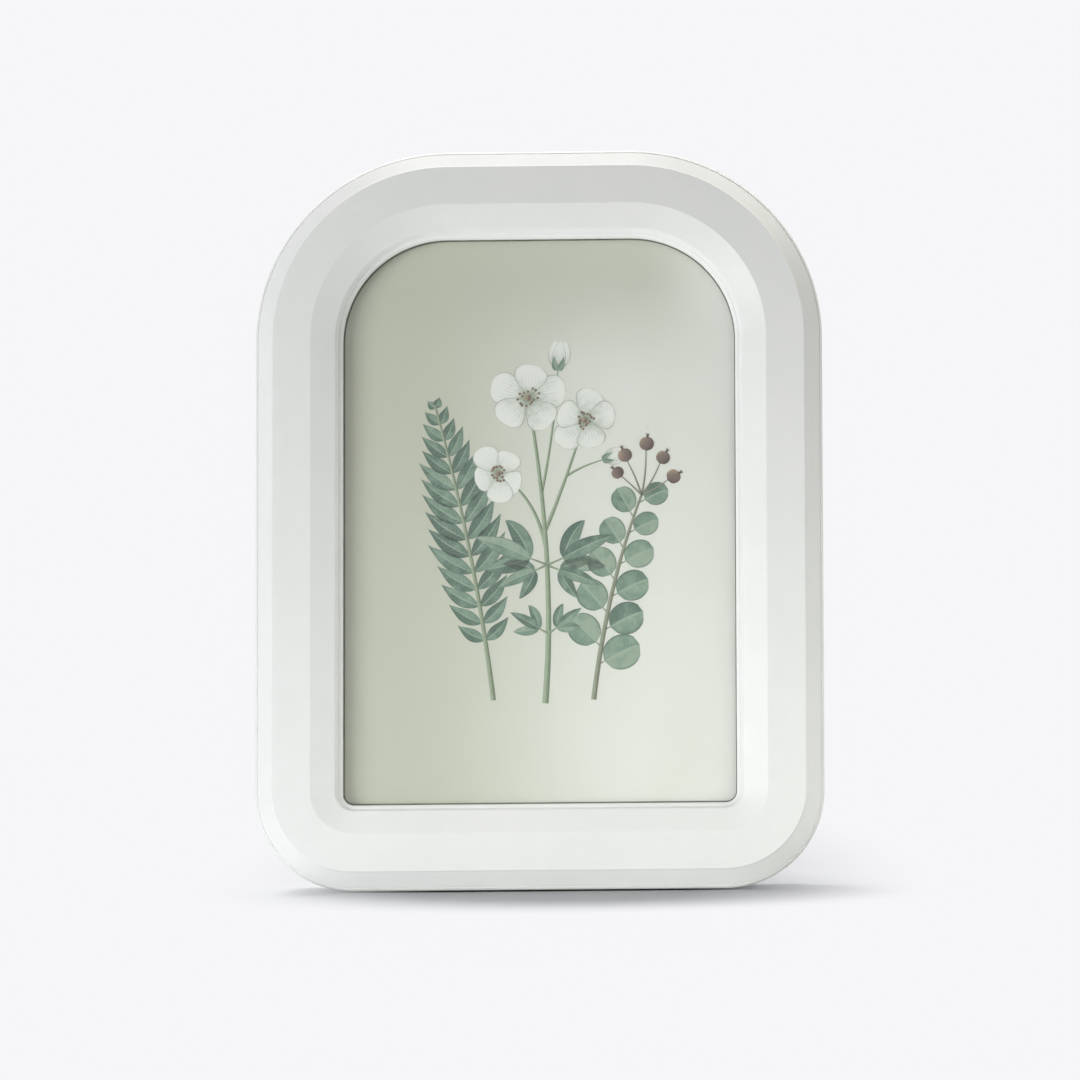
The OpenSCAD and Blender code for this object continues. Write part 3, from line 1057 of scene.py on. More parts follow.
    @staticmethod
    def modify(thing: Thing, kind: str, **settings: object) -> None:
        """Add a modifier and apply it.

        Args:
            thing: The object.
            kind: The modifier's type.
            **settings: Its properties.
        """
        Bench.take(thing)
        made = thing.modifiers.new(kind.lower(), kind)
        for name, value in settings.items():
            setattr(made, name, value)
        bpy.ops.object.modifier_apply(modifier=made.name)

    @staticmethod
    def combine(thing: Thing, tool: Thing, operation: str = "DIFFERENCE") -> None:
        """Cut a tool out of an object, or weld it on, and throw the tool away."""
        Bench.modify(thing, "BOOLEAN", object=tool, operation=operation, solver="EXACT")
        bpy.data.objects.remove(tool)

    @staticmethod
    def soften(thing: Thing, width: float, segments: int = 3, angle: float = 35.0) -> None:
        """Round all edges that are sharper than an angle, then shade smoothly."""
        Bench.modify(
            thing, "BEVEL", width=width, segments=segments, limit_method="ANGLE",
            angle_limit=math.radians(angle), use_clamp_overlap=True,
        )
        Bench.smooth(thing)

    @staticmethod
    def smooth(thing: Thing, angle: float = 30.0) -> None:
        """Shade smoothly over edges flatter than an angle, with the flats kept flat.

        Args:
            thing: The object.
            angle: The angle in degrees.
        """
        Bench.take(thing)
        bpy.ops.object.shade_smooth_by_angle(angle=math.radians(angle))
        Bench.modify(thing, "WEIGHTED_NORMAL", keep_sharp=True)

    @staticmethod
    def place(thing: Thing, move: Matrix) -> None:
        """Move an object and put its place into its mesh.

        Args:
            thing: The object.
            move: The move.
        """
        Bench.take(thing)
        thing.matrix_world = move
        bpy.ops.object.transform_apply(location=True, rotation=True, scale=True)

    @staticmethod
    def copy(thing: Thing, move: Matrix) -> Thing:
        """Copy an object with a mesh of its own and put the copy in its place.

        Args:
            thing: The object.
            move: The copy's move.

        Returns:
            The copy.
        """
        made = thing.copy()
        made.data = thing.data.copy()
        bpy.context.collection.objects.link(made)
        Bench.place(made, move)
        return made

    @staticmethod
    def join(things: Sequence[Thing]) -> Thing:
        """Join objects into the first.

        Args:
            things: The objects.

        Returns:
            The first of them.
        """
        Bench.take(things[0])
        for thing in things[1:]:
            thing.select_set(True)
        bpy.ops.object.join()
        return things[0]


class Section:
    """Points of an outline in a plane, for a moulding or a turned piece."""

    @staticmethod
    def arc(middle: Point, radius: float, first: float, last: float, steps: int) -> list[Point]:
        """Give points on an arc between two angles in degrees, both ends included."""
        angles = [math.radians(first + (last - first) * i / steps) for i in range(steps + 1)]
        return [
            (middle[0] + radius * math.cos(a), middle[1] + radius * math.sin(a)) for a in angles
        ]

    @staticmethod
    def eased(
        before: Point, corner: Point, after: Point, radius: float, steps: int = 7,
        hold: float = 0.3,
    ) -> list[Point]:
        """Round a corner between two straight legs.

        Args:
            before: A point on the leg that comes in.
            corner: The corner.
            after: A point on the leg that goes out.
            radius: Radius of the rounding.
            steps: Chords of the arc.
            hold: Length of a short straight piece at both ends, which keeps the flats flat.

        Returns:
            The rounding's points, from the first leg to the second.
        """
        tip = Vector(corner)
        way_in = (Vector(before) - tip).normalized()
        way_out = (Vector(after) - tip).normalized()
        half = way_in.angle(way_out) / 2
        reach = radius / math.tan(half)
        middle = tip + (way_in + way_out).normalized() * (radius / math.sin(half))
        start = tip + way_in * reach - middle
        turn = start.angle_signed(tip + way_out * reach - middle)
        first = math.degrees(math.atan2(start.y, start.x))
        points = Section.arc(tuple(middle), radius, first, first - math.degrees(turn), steps)
        held = reach + hold
        return [tuple(tip + way_in * held), *points, tuple(tip + way_out * held)]

    @staticmethod
    def dome(radius: float, height: float, base: float, steps: int = 8) -> list[Point]:
        """Give a cap's points from its top on the axis down to its rim.

        Args:
            radius: Radius of the rim.
            height: Height of the cap.
            base: Height of the rim.
            steps: Chords of the cap's arc.

        Returns:
            The points of (radius, height).
        """
        ball = (radius * radius + height * height) / (2 * height)
        rim = math.degrees(math.asin(min(1.0, radius / ball)))
        return Section.arc((0.0, base + height - ball), ball, 90, 90 - rim, steps)


@dataclass
class SubAssembly:
    """A group of pieces of the frame, all upright until they are seated."""

    stance: Stance
    pieces: list[Thing] = field(default_factory=list)

    def seat(
        self, thing: Thing, name: str, finish: Material, slot: str,
        stands_for: Sequence[str] = (), body: str = "frame", move: Matrix | None = None,
    ) -> None:
        """Bring a modelled piece to its place, dress it and hand it to the frame.

        Args:
            thing: The piece, in millimetres.
            name: The name that it goes out with.
            finish: Its material.
            slot: Not used; it names the record's material slot of the piece.
            stands_for: The CAD nodes that it replaces.
            body: The CAD body that it rides on.
            move: The move to its standing place in metres; the frame's own where none is given.
        """
        Bench.place(thing, move or self.stance.world())
        thing.name = thing.data.name = name
        thing.data.materials.clear()
        thing.data.materials.append(finish)
        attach(thing, body)
        if stands_for:
            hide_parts(*stands_for)
        self.pieces.append(thing)

    def report(self) -> None:
        """Do nothing: what was made is not said."""


@dataclass
class Moulding(SubAssembly):
    """The arched white moulding: bevel, flat, slope, quirk and rounded lip, swept round the window.

    Sizes across are given inwards from the outer edge, and depths back from the face.
    """

    width: float = 170.4
    height: float = 224.6
    depth: float = 18.3
    border: float = 26.3
    top_r: float = 57.8
    bottom_r: float = 29.7
    bevel: Point = (5.4, 4.5)
    step: Point = (0.32, 0.46)
    flat_w: float = 11.4
    slope: Point = (7.3, 3.0)
    lip_d: float = 5.2
    lip_r: float = 1.3
    lip_steps: int = 10
    edge_r: float = 0.40
    step_r: float = 0.3
    step_steps: int = 3
    step_hold: float = 0.08
    quirk_edge_r: float = 0.45
    quirk_hold: float = 0.2
    rear_r: float = 1.0
    draft: float = 13.0
    bead: Point = (0.90, 1.30)
    bead_hold: float = 0.03
    bead_groove: Point = (0.42, 0.30)
    groove_hold: float = 0.3
    rabbet: Point = (128.0, 179.0)
    rabbet_corner_r: float = 2.0
    glass_d: float = 8.2
    pocket: Point = (10.4, 16.4)
    pocket_z: float = 211.607
    pocket_depth: float = 5.0
    pocket_steps: int = 12
    cut_over: float = 1.0
    bend_steps: int = 40
    smooth_below: float = 28.0

    def section(self) -> list[Point]:
        """Give the moulding's section, from the rear over the face.

        Returns:
            The points of (inwards from the outer edge, back from the face).
        """
        drawn_in = (self.depth - self.bevel[1]) * math.tan(math.radians(self.draft))
        rear_in, rear_out = (self.border, self.depth), (drawn_in, self.depth)
        bevel_out, bevel_in = (0.0, self.bevel[1]), (self.bevel[0], 0.0)
        step_low = (bevel_in[0] - self.step[0], self.step[1])
        flat_in = (self.bevel[0] + self.flat_w, 0.0)
        slope_in = (flat_in[0] + self.slope[0], self.slope[1])
        lip_out = (self.border - self.lip_r, self.lip_d)
        lip_middle = (lip_out[0], self.lip_d + self.lip_r)
        step_ease = (self.step_r, self.step_steps, self.step_hold)
        return [
            rear_in,
            *Section.eased(rear_in, rear_out, bevel_out, self.rear_r),
            *self.beaded(rear_out, bevel_out, step_low),
            *Section.eased(bevel_out, step_low, bevel_in, *step_ease),
            *Section.eased(step_low, bevel_in, flat_in, *step_ease),
            *Section.eased(bevel_in, flat_in, slope_in, self.edge_r),
            *Section.eased(flat_in, slope_in, lip_out, self.quirk_edge_r, hold=self.quirk_hold),
            *Section.arc(lip_middle, self.lip_r, -90, 0, self.lip_steps),
        ]

    def beaded(self, rear: Point, corner: Point, inner: Point) -> list[Point]:
        """Round the outer edge to a fine bead and part it from the bevel by a scratch of a groove.

        Args:
            rear: A point on the side wall.
            corner: Where the side wall and the bevel meet.
            inner: The bevel's inner end.

        Returns:
            The points from the side wall to the bevel.
        """
        tip = Vector(corner)
        along = (Vector(inner) - tip).normalized()
        into = Vector((along.x, along.y)).orthogonal()
        into = into if into.y > 0 else -into
        width, depth = self.bead_groove
        start = tip + along * self.bead[0]
        floor = start + along * width / 2 + into * depth
        end = start + along * width
        held = end + along * self.groove_hold
        bead = Section.eased(rear, corner, tuple(start), self.bead[1], hold=self.bead_hold)
        return [*bead[:-1], *(tuple(point) for point in (start, floor, end, held))]

    def build(self, paint: Material) -> None:
        """Sweep the section round the frame, cut the rabbet and the keyhole's pocket, and seat it.

        Args:
            paint: The moulding's finish.
        """
        side = self.width / 2
        frame = Bench.ring([(side - u, v, self.bottom_r) for u, v in self.section()])
        rise = self.height - self.top_r - self.bottom_r
        across_top = self.width - 2 * self.top_r
        across_low = self.width - 2 * self.bottom_r
        top_x, top_z, low_x = side - self.top_r, self.height - self.top_r, side - self.bottom_r
        with Bench.editing(frame, Pick.EDGES, everything=True):
            for step, corner in [
                ((0, 0, rise), (top_x, 0, top_z)),
                ((-across_top, 0, 0), (-top_x, 0, top_z)),
                ((0, 0, -rise), (-low_x, 0, self.bottom_r)),
                ((across_low, 0, 0), (low_x, 0, self.bottom_r)),
            ]:
                bpy.ops.mesh.extrude_region_move(TRANSFORM_OT_translate={"value": step})
                bpy.ops.mesh.spin(
                    steps=self.bend_steps, angle=QUARTER, center=corner, axis=(0, 1, 0),
                )
        Bench.heal(frame)
        Bench.combine(frame, self._rabbet())
        Bench.combine(frame, self._pocket())
        Bench.smooth(frame, self.smooth_below)
        self.seat(frame, "frame_moulding_painted", paint, "white_paint", ["frame_moulding"])

    def _rabbet(self) -> Thing:
        """Make the block that cuts the rabbet from the rear.

        Returns:
            The block.
        """
        wide, tall = self.rabbet
        reach = self.depth - self.glass_d + self.cut_over
        middle = (0, self.glass_d + reach / 2, self.height / 2)
        return Bench.plate((wide, reach, tall), middle, self.rabbet_corner_r)

    def _pocket(self) -> Thing:
        """Make the block that cuts the pocket behind the keyhole.

        Returns:
            The block.
        """
        wide, tall = self.pocket
        reach = self.pocket_depth + self.cut_over
        middle = (0, self.depth + self.cut_over - reach / 2, self.pocket_z)
        # Just under a half circle, so that the roundings of its ends don't meet.
        corner_r = wide / 2 - 0.01
        return Bench.plate((wide, reach, tall), middle, corner_r, self.pocket_steps)


@dataclass
class Glazing(SubAssembly):
    """The glass pane in front of the print, and the sheets behind it.

    A sheet's place is its depth behind the face and its thickness.
    """

    sheet: Point = (127.0, 178.0)
    corner_r: float = 2.0
    middle_z: float = 112.3
    glass: Point = (8.2, 2.0)
    glass_edge: float = 0.15
    board: Point = (15.0, 3.0)
    board_edge: float = 0.35

    def _plate(self, place: Point, edge_r: float) -> Thing:
        """Make a sheet with round corners.

        Args:
            place: Its depth and its thickness.
            edge_r: Radius of its edges.

        Returns:
            The sheet.
        """
        depth, thick = place
        wide, tall = self.sheet
        middle = (0, depth + thick / 2, self.middle_z)
        made = Bench.plate((wide, thick, tall), middle, self.corner_r)
        Bench.soften(made, edge_r, 2)
        return made

    def build(self, glass: Material, board: Material, card: Thing, grey: Material) -> None:
        """Make the pane and the back board, and dress the card between them.

        Args:
            glass: The pane's finish.
            board: The back board's finish.
            card: The CAD model's card, which stays.
            grey: The card's finish.
        """
        pane = self._plate(self.glass, self.glass_edge)
        self.seat(pane, "glass_pane_clear", glass, "clear_glass", ["glass_pane"])
        back = self._plate(self.board, self.board_edge)
        self.seat(back, "back_board_pressed", board, "hardboard", ["back_board"])
        card.data.materials.clear()
        card.data.materials.append(grey)
        self.pieces.append(card)


class Outline(Enum):
    """How a stroke's width runs from its foot to its tip; the values shape its curve."""

    LEAF = (0.72, 0.82)
    LANCE = (0.80, 1.15)
    PETAL = (1.75, 0.52)
    ROUND = ()
    STALK = (0.55,)

    def width(self, along: float) -> float:
        """Give the share of the full width at a place.

        Args:
            along: The place, from 0, the foot, to 1, the tip.

        Returns:
            The share.
        """
        if self is Outline.ROUND:
            return math.sqrt(max(0.0, 1 - (2 * along - 1) ** 2))
        if self is Outline.STALK:
            return 1 - self.value[0] * along
        swell, fullness = self.value
        return max(0.0, math.sin(math.pi * along ** swell)) ** fullness


@dataclass(frozen=True)
class Stroke:
    """One flat shape of the picture: a bent spine with a width on both sides.

    Attributes:
        foot: Where the spine starts, in the picture's plane.
        bend: The point that pulls the spine.
        tip: Where the spine ends.
        half: Half of the greatest width.
        outline: How the width runs.
        layer: How many layers of ink lie under it.
        tone: Light or dark, from 0 to 1, which the ink reads.
        cells: Faces across and along.
    """

    foot: Vector
    bend: Vector
    tip: Vector
    half: float
    outline: Outline
    layer: int
    tone: float
    cells: tuple[int, int]

    def spine(self, along: float) -> Vector:
        """Give a point on the spine at a place from 0, the foot, to 1, the tip."""
        back = 1 - along
        return self.foot * back * back + self.bend * 2 * back * along + self.tip * along * along

    def heading(self, along: float) -> Vector:
        """Give the spine's direction at a place from 0, the foot, to 1, the tip."""
        run = (self.bend - self.foot) * (1 - along) + (self.tip - self.bend) * along
        return run.normalized()

    def point(self, across: float, along: float) -> Vector:
        """Give the point at a share of the width and of the length, both from 0 to 1."""
        right = -left_of(self.heading(along))
        return self.spine(along) + right * (2 * across - 1) * self.half * self.outline.width(along)


@dataclass(frozen=True)
class ArchShadowLine:
    """A dark line laid on the picture along the window's arch, just inside its edge: painted shadow
    of the gap under the moulding's lip.

    Attributes:
        size: Width and height of its inner edge.
        middle: The middle of its inner edge in the picture's plane.
        radii: Corner radii of its inner edge, at the top and at the bottom.
        width: Its width, of which most lies behind the moulding.
        layer: How many layers of ink lie under it.
        tone: Light or dark, kept on its points; its ink doesn't read it.
        cells: Faces across and along.
        bend_share: The share of each quarter's faces that goes round its corner.
    """

    size: Point = (117.0, 170.9)
    middle: Point = (0.01, 0.48)
    radii: Point = (31.1, 3.0)
    width: float = 1.6
    layer: int = 1
    tone: float = 0.5
    cells: tuple[int, int] = (1, 160)
    bend_share: float = 0.8

    def point(self, across: float, along: float) -> Vector:
        """Give the point at a share of the width and of the way round, both from 0 to 1.

        Args:
            across: The share of the width.
            along: The share of the way round, from the right.

        Returns:
            The point.
        """
        wide, tall = self.size[0] / 2, self.size[1] / 2
        top, low = self.radii
        corners = [
            ((wide - top, tall - top), top, 0), ((top - wide, tall - top), top, 90),
            ((low - wide, low - tall), low, 180), ((wide - low, low - tall), low, 270),
        ]
        quarter = min(3, int(along * 4))
        middle, radius, first = corners[quarter]
        share = along * 4 - quarter
        ray = bearing(first + 90 * min(1.0, share / self.bend_share))
        here = Vector(middle) + ray * (radius + across * self.width)
        if share > self.bend_share:
            ahead, next_r, _ = corners[(quarter + 1) % 4]
            there = Vector(ahead) + ray * (next_r + across * self.width)
            here = here.lerp(there, (share - self.bend_share) / (1 - self.bend_share))
        return here + Vector(self.middle)


class Ink(Enum):
    """The inks of the picture, and the names of the pieces drawn with them."""

    # Painted shadow: a dark line along the window's edge, where the gap under the lip is in shade.
    LINE = "print_keyline"
    STEM = "print_stems"
    LEAF = "print_leaves"
    PETAL = "print_petals"
    SEED = "print_seeds"


def bearing(angle: float) -> Vector:
    """Give the direction at an angle in degrees, in the picture's plane."""
    return Vector((math.cos(math.radians(angle)), math.sin(math.radians(angle))))


def left_of(way: Vector) -> Vector:
    """Give the direction to the left of another, in the picture's plane."""
    return Vector((-way.y, way.x))


@dataclass
class BotanicalPrint(SubAssembly):
    """The print behind the glass: a paper sheet with a generic plate of three cut stems.

    A fern frond stands on the left, a stem of five-petalled white blossom in the middle and a
    round-leaved sprig with brown capsules on the right. Small differences among the strokes come
    from a seeded source.
    """

    sheet: Point = (127.0, 178.0)
    corner_r: float = 2.0
    middle: Point = (0.0, 112.3)
    front: float = 10.4
    thick: float = 0.2
    step: float = 0.018
    film: float = 0.012
    merge: float = 0.004
    chance: random.Random = field(default_factory=lambda: random.Random(11))
    strokes: dict[Ink, list[Stroke | ArchShadowLine]] = field(
        default_factory=lambda: {ink: [] for ink in Ink},
    )

    def build(self, paper: Material, inks: Mapping[Ink, Material]) -> None:
        """Make the sheet, draw the picture and lay its inks on the sheet.

        Args:
            paper: The sheet's finish.
            inks: The finish of each ink.
        """
        wide, tall = self.sheet
        x, z = self.middle
        middle = (0, self.front + self.thick / 2, z)
        sheet = Bench.plate((wide, self.thick, tall), middle, self.corner_r)
        Bench.smooth(sheet)
        self.seat(sheet, "print_sheet", paper, "print_paper", ["photo_print"])
        self.draw()
        upright = Matrix.Translation((x, self.front, z)) @ Matrix.Rotation(QUARTER, 4, "X")
        move = self.stance.world() @ upright
        for ink, strokes in self.strokes.items():
            drawn = Bench.join([self._lay(stroke) for stroke in strokes])
            Bench.heal(drawn, self.merge)
            Bench.modify(drawn, "SOLIDIFY", thickness=self.film, offset=-1.0)
            Bench.smooth(drawn)
            self.seat(drawn, ink.value, inks[ink], "print_paper", move=move)

    def _lay(self, stroke: Stroke | ArchShadowLine) -> Thing:
        """Make a stroke from a grid, with its tone kept on its points.

        Args:
            stroke: The stroke.

        Returns:
            The stroke's mesh, flat in the picture's plane.
        """
        Bench.clear()
        across, along = stroke.cells
        bpy.ops.mesh.primitive_grid_add(x_subdivisions=across, y_subdivisions=along, size=1)
        made = bpy.context.object
        height = stroke.layer * self.step
        for vertex in made.data.vertices:
            flat = stroke.point(vertex.co.x + 0.5, vertex.co.y + 0.5)
            vertex.co = (flat.x, flat.y, height)
        tone = made.data.attributes.new("tone", "FLOAT", "POINT")
        tone.data.foreach_set("value", [stroke.tone] * len(made.data.vertices))
        return made

    def add(
        self, ink: Ink, spine: Spine, half: float, outline: Outline, layer: int, tone: float,
        cells: tuple[int, int],
    ) -> Stroke:
        """Add a stroke to an ink.

        Args:
            ink: The ink.
            spine: The stroke's foot, bend and tip.
            half: Half of its greatest width.
            outline: How its width runs.
            layer: How many layers of ink lie under it.
            tone: Light or dark, from 0 to 1.
            cells: Faces across and along.

        Returns:
            The stroke.
        """
        stroke = Stroke(*map(Vector, spine), half, outline, layer, tone, cells)
        self.strokes[ink].append(stroke)
        return stroke

    def stalk(self, spine: Spine, half: float, layer: int, tone: float, along: int) -> Stroke:
        """Add a stalk from its foot, bend and tip, with that many faces along it."""
        return self.add(Ink.STEM, spine, half, Outline.STALK, layer, tone, (2, along))

    def draw(self) -> None:
        """Compose the painted shadow line along the window's edge, and the three stems."""
        self.strokes[Ink.LINE].append(ArchShadowLine())
        self.fern()
        self.blossom_stem()
        self.sprig()

    def fern(self) -> None:
        """Draw the frond: a bent midrib with pairs of leaflets that grow shorter to both ends."""
        rib = self.stalk(((-14.0, -54.0), (-19.5, -8.0), (-31.5, 36.0)), 0.75, 4, 0.25, 24)
        pairs = 15
        for i in range(pairs):
            along = 0.20 + 0.79 * i / (pairs - 1)
            swell = (0.16 + 0.80 * ((along - 0.2) / 0.8)) ** 0.9
            reach = 13.5 * math.sin(math.pi * swell) + 1.2
            at, way = rib.spine(along), rib.heading(along)
            droop = way * reach * 0.22
            for side in (-1, 1):
                turn = Matrix.Rotation(-side * math.radians(64 - 26 * along), 2)
                out = (turn @ way) * reach * self.chance.uniform(0.94, 1.06)
                tip = at + out + droop * 0.6
                bend = at + out * 0.55 - droop * 0.35
                self.add(
                    Ink.LEAF, (at, bend, tip), 1.0 + reach * 0.105, Outline.LANCE,
                    2 if side < 0 else 3, self.chance.uniform(0.10, 0.55), (4, 9),
                )

    def blossom_stem(self) -> None:
        """Draw the middle stem: a whorl of leaves, two side shoots, three blossoms and two buds."""
        green = 0.10
        main = self.stalk(((1.5, -55.0), (5.0, -12.0), (-3.5, 38.0)), 0.95, 4, green, 24)
        left = self.stalk((main.spine(0.52), (-1.0, 8.0), (-12.5, 15.0)), 0.60, 3, green, 12)
        right = self.stalk((main.spine(0.58), (8.5, 14.0), (13.5, 31.0)), 0.60, 3, green, 12)
        short = self.stalk((main.spine(0.70), (4.5, 28.0), (5.5, 47.0)), 0.45, 2, green, 12)
        low = self.stalk((right.spine(0.5), (13.5, 17.5), (19.5, 19.0)), 0.40, 2, green, 10)
        for angle, length in ((158, 21.0), (24, 20.0), (205, 15.0), (-22, 15.5)):
            self.cleft_leaf(main.spine(0.47), angle, length)
        for angle, length in ((150, 12.0), (38, 11.5)):
            self.cleft_leaf(main.spine(0.24), angle, length)
        self.blossom(main.tip, 12.2, 14.0, 0.86, 100.0)
        self.blossom(left.tip, 9.6, 50.0, 0.74, 20.0)
        self.blossom(right.tip, 10.6, 80.0, 0.80, 140.0)
        self.bud(short.tip, 84.0, 8.6)
        self.bud(low.tip, 18.0, 6.6)

    def cleft_leaf(self, at: Vector, angle: float, length: float) -> None:
        """Draw a leaf of three lobes on a short stalk.

        Args:
            at: The stalk's foot.
            angle: The leaf's direction, in degrees.
            length: The leaf's length with its stalk.
        """
        layer = 5
        way = bearing(angle)
        side = left_of(way)
        fork = at + way * length * 0.26
        self.stalk((at, (at + fork) / 2, fork), 0.42, layer, 0.1, 4)
        for spread, reach in ((-0.62, 0.66), (0.62, 0.66), (0.0, 0.84)):
            tip = fork + (way * math.cos(spread) + side * math.sin(spread)) * length * reach
            lift = Vector((0.0, 0.05 * length))
            bend = (fork + tip) / 2 + side * spread * length * 0.16 + lift
            self.add(
                Ink.LEAF, (fork, bend, tip), length * 0.125, Outline.LEAF,
                layer + (2 if spread == 0 else 1), self.chance.uniform(0.25, 0.85), (6, 14),
            )

    def blossom(
        self, at: Vector, radius: float, turn: float, squash: float, tilt: float,
    ) -> None:
        """Draw five petals round a tuft of stamens, seen a little from the side.

        Args:
            at: The blossom's middle.
            radius: Length of its petals.
            turn: Direction of its first petal, in degrees.
            squash: How much it is foreshortened.
            tilt: The direction in which it is foreshortened, in degrees.
        """
        tilted = Matrix.Rotation(math.radians(tilt), 2)
        back = Matrix.Rotation(-math.radians(tilt), 2)
        face = tilted @ Matrix.Diagonal((squash, 1.0)) @ back
        for order, k in enumerate((0, 2, 4, 1, 3)):
            way = face @ bearing(turn + 72 * k + self.chance.uniform(-5, 5))
            tip = at + way * radius * self.chance.uniform(0.94, 1.04)
            bend = at + way * radius * 0.5 + left_of(way) * self.chance.uniform(-1.0, 1.0)
            self.add(
                Ink.PETAL, (at + way * 0.4, bend, tip), radius * 0.42, Outline.PETAL,
                5 + (order > 1) + (order > 3), self.chance.uniform(0.05, 0.5), (8, 14),
            )
        for k in range(15):
            way = bearing(24 * k + self.chance.uniform(-7, 7))
            reach = radius * self.chance.uniform(0.15, 0.30)
            end = at + face @ way * reach
            self.stalk((at, (at + end) / 2, end), 0.13, 8, 0.35, 3)
            self.dot(end, 0.42, self.chance.uniform(0.35, 0.95))
        self.dot(at, radius * 0.085, 0.9)

    def bud(self, at: Vector, angle: float, length: float) -> None:
        """Draw a closed bud: three folded petals in a small green cup.

        Args:
            at: The bud's foot.
            angle: Its direction, in degrees.
            length: Its length.
        """
        way = bearing(angle)
        side = left_of(way)
        for lean, layer in ((-0.16, 5), (0.16, 5), (0.0, 6)):
            tip = at + way * length + side * lean * length
            bend = at + way * length * 0.5 + side * lean * length * 1.6
            self.add(
                Ink.PETAL, (at, bend, tip), length * 0.24, Outline.LEAF, layer,
                self.chance.uniform(0.15, 0.55), (6, 12),
            )
        for lean in (-0.3, 0.3):
            tip = at + way * length * 0.42 + side * lean * length * 0.55
            cup = (at - way * 0.6, at + side * lean * length * 0.5, tip)
            self.add(Ink.LEAF, cup, length * 0.11, Outline.LEAF, 7, 0.5, (4, 8))

    def sprig(self) -> None:
        """Draw the right stem: round leaves by turns on both sides, and capsules at the top."""
        main = self.stalk(((16.0, -54.0), (20.0, -20.0), (30.5, 8.0)), 0.80, 4, 0.55, 20)
        count = 11
        for i in range(count):
            along = 0.16 + 0.80 * i / (count - 1)
            side = -1 if i % 2 else 1
            at, way = main.spine(along), main.heading(along)
            out = Matrix.Rotation(-side * math.radians(58 - 12 * along), 2) @ way
            size = 6.4 - 2.6 * along + self.chance.uniform(-0.3, 0.3)
            foot = at + out * 2.0
            self.stalk((at, (at + foot) / 2, foot), 0.30, 3, 0.5, 3)
            tip = foot + out * size * 1.9
            bend = (foot + tip) / 2 + Vector((0.0, 0.6))
            self.add(
                Ink.LEAF, (foot, bend, tip), size * 0.86, Outline.ROUND, 5 + (i % 3 > 1),
                self.chance.uniform(0.45, 0.95), (8, 12),
            )
        for angle, length in ((112, 11.0), (84, 13.5), (60, 11.0), (30, 9.0), (136, 8.0)):
            way = bearing(angle)
            end = main.tip + way * length
            bend = main.tip + way * length * 0.5 + Vector((0.8, -0.5))
            self.stalk((main.tip, bend, end), 0.32, 6, 0.7, 8)
            self.capsule(end, way)

    def capsule(self, at: Vector, way: Vector) -> None:
        """Draw a round brown capsule with a small crown.

        Args:
            at: The capsule's foot.
            way: Its direction.
        """
        size = self.chance.uniform(1.7, 2.2)
        tip = at + way * size * 2
        body = (at, (at + tip) / 2, tip)
        self.add(Ink.SEED, body, size, Outline.ROUND, 7, self.chance.uniform(0.3, 0.6), (6, 8))
        for lean in (-0.5, 0.0, 0.5):
            end = tip + (way + left_of(way) * lean) * 0.9
            tooth = (tip - way * 0.4, (tip + end) / 2, end)
            self.add(Ink.SEED, tooth, 0.20, Outline.STALK, 8, 0.2, (2, 3))

    def dot(self, at: Vector, radius: float, tone: float) -> None:
        """Draw a round dot over all the rest."""
        up = Vector((0.0, radius))
        self.add(Ink.SEED, (at - up, at, at + up), radius, Outline.ROUND, 9, tone, (4, 6))


@dataclass
class Strut(SubAssembly):
    """The easel leg: a tapered board that hangs on the hinge and stands on the table."""

    top_w: float = 32.0
    foot_w: float = 48.0
    thick: float = 4.0
    corner_r: float = 5.0
    corner_steps: int = 10
    front: float = 19.1
    top_z: float = 146.8
    low_z: float = 1.072
    edge_r: float = 0.45

    def build(self, board: Material) -> None:
        """Taper a board, round its top, swing it open and saw its foot level with the table.

        Args:
            board: The leg's finish.
        """
        tall = self.top_z - self.low_z
        middle = (0, self.front + self.thick / 2, (self.top_z + self.low_z) / 2)
        leg = Bench.block((self.foot_w, self.thick, tall), middle)
        Bench.pick_faces(leg, lambda _, normal: normal.z > 0.9)
        with Bench.editing(leg, Pick.FACES):
            bpy.ops.transform.resize(
                value=(self.top_w / self.foot_w, 1, 1),
                center_override=(0, self.front, self.top_z),
            )
        above = self.low_z + 1
        Bench.bevel(
            leg, lambda a, b: abs(a.y - b.y) > 1 and min(a.z, b.z) > above, self.corner_r,
            self.corner_steps,
        )
        Bench.place(leg, self.stance.leaned() @ self.stance.swing())
        with Bench.editing(leg, Pick.FACES, everything=True):
            bpy.ops.mesh.bisect(
                plane_co=(0, 0, 0), plane_no=(0, 0, 1), use_fill=True, clear_inner=True,
            )
        Bench.soften(leg, self.edge_r)
        to_metres = Matrix.Scale(MM, 4)
        self.seat(leg, "strut_leg_pressed", board, "hardboard", ["strut_leg"], "strut", to_metres)


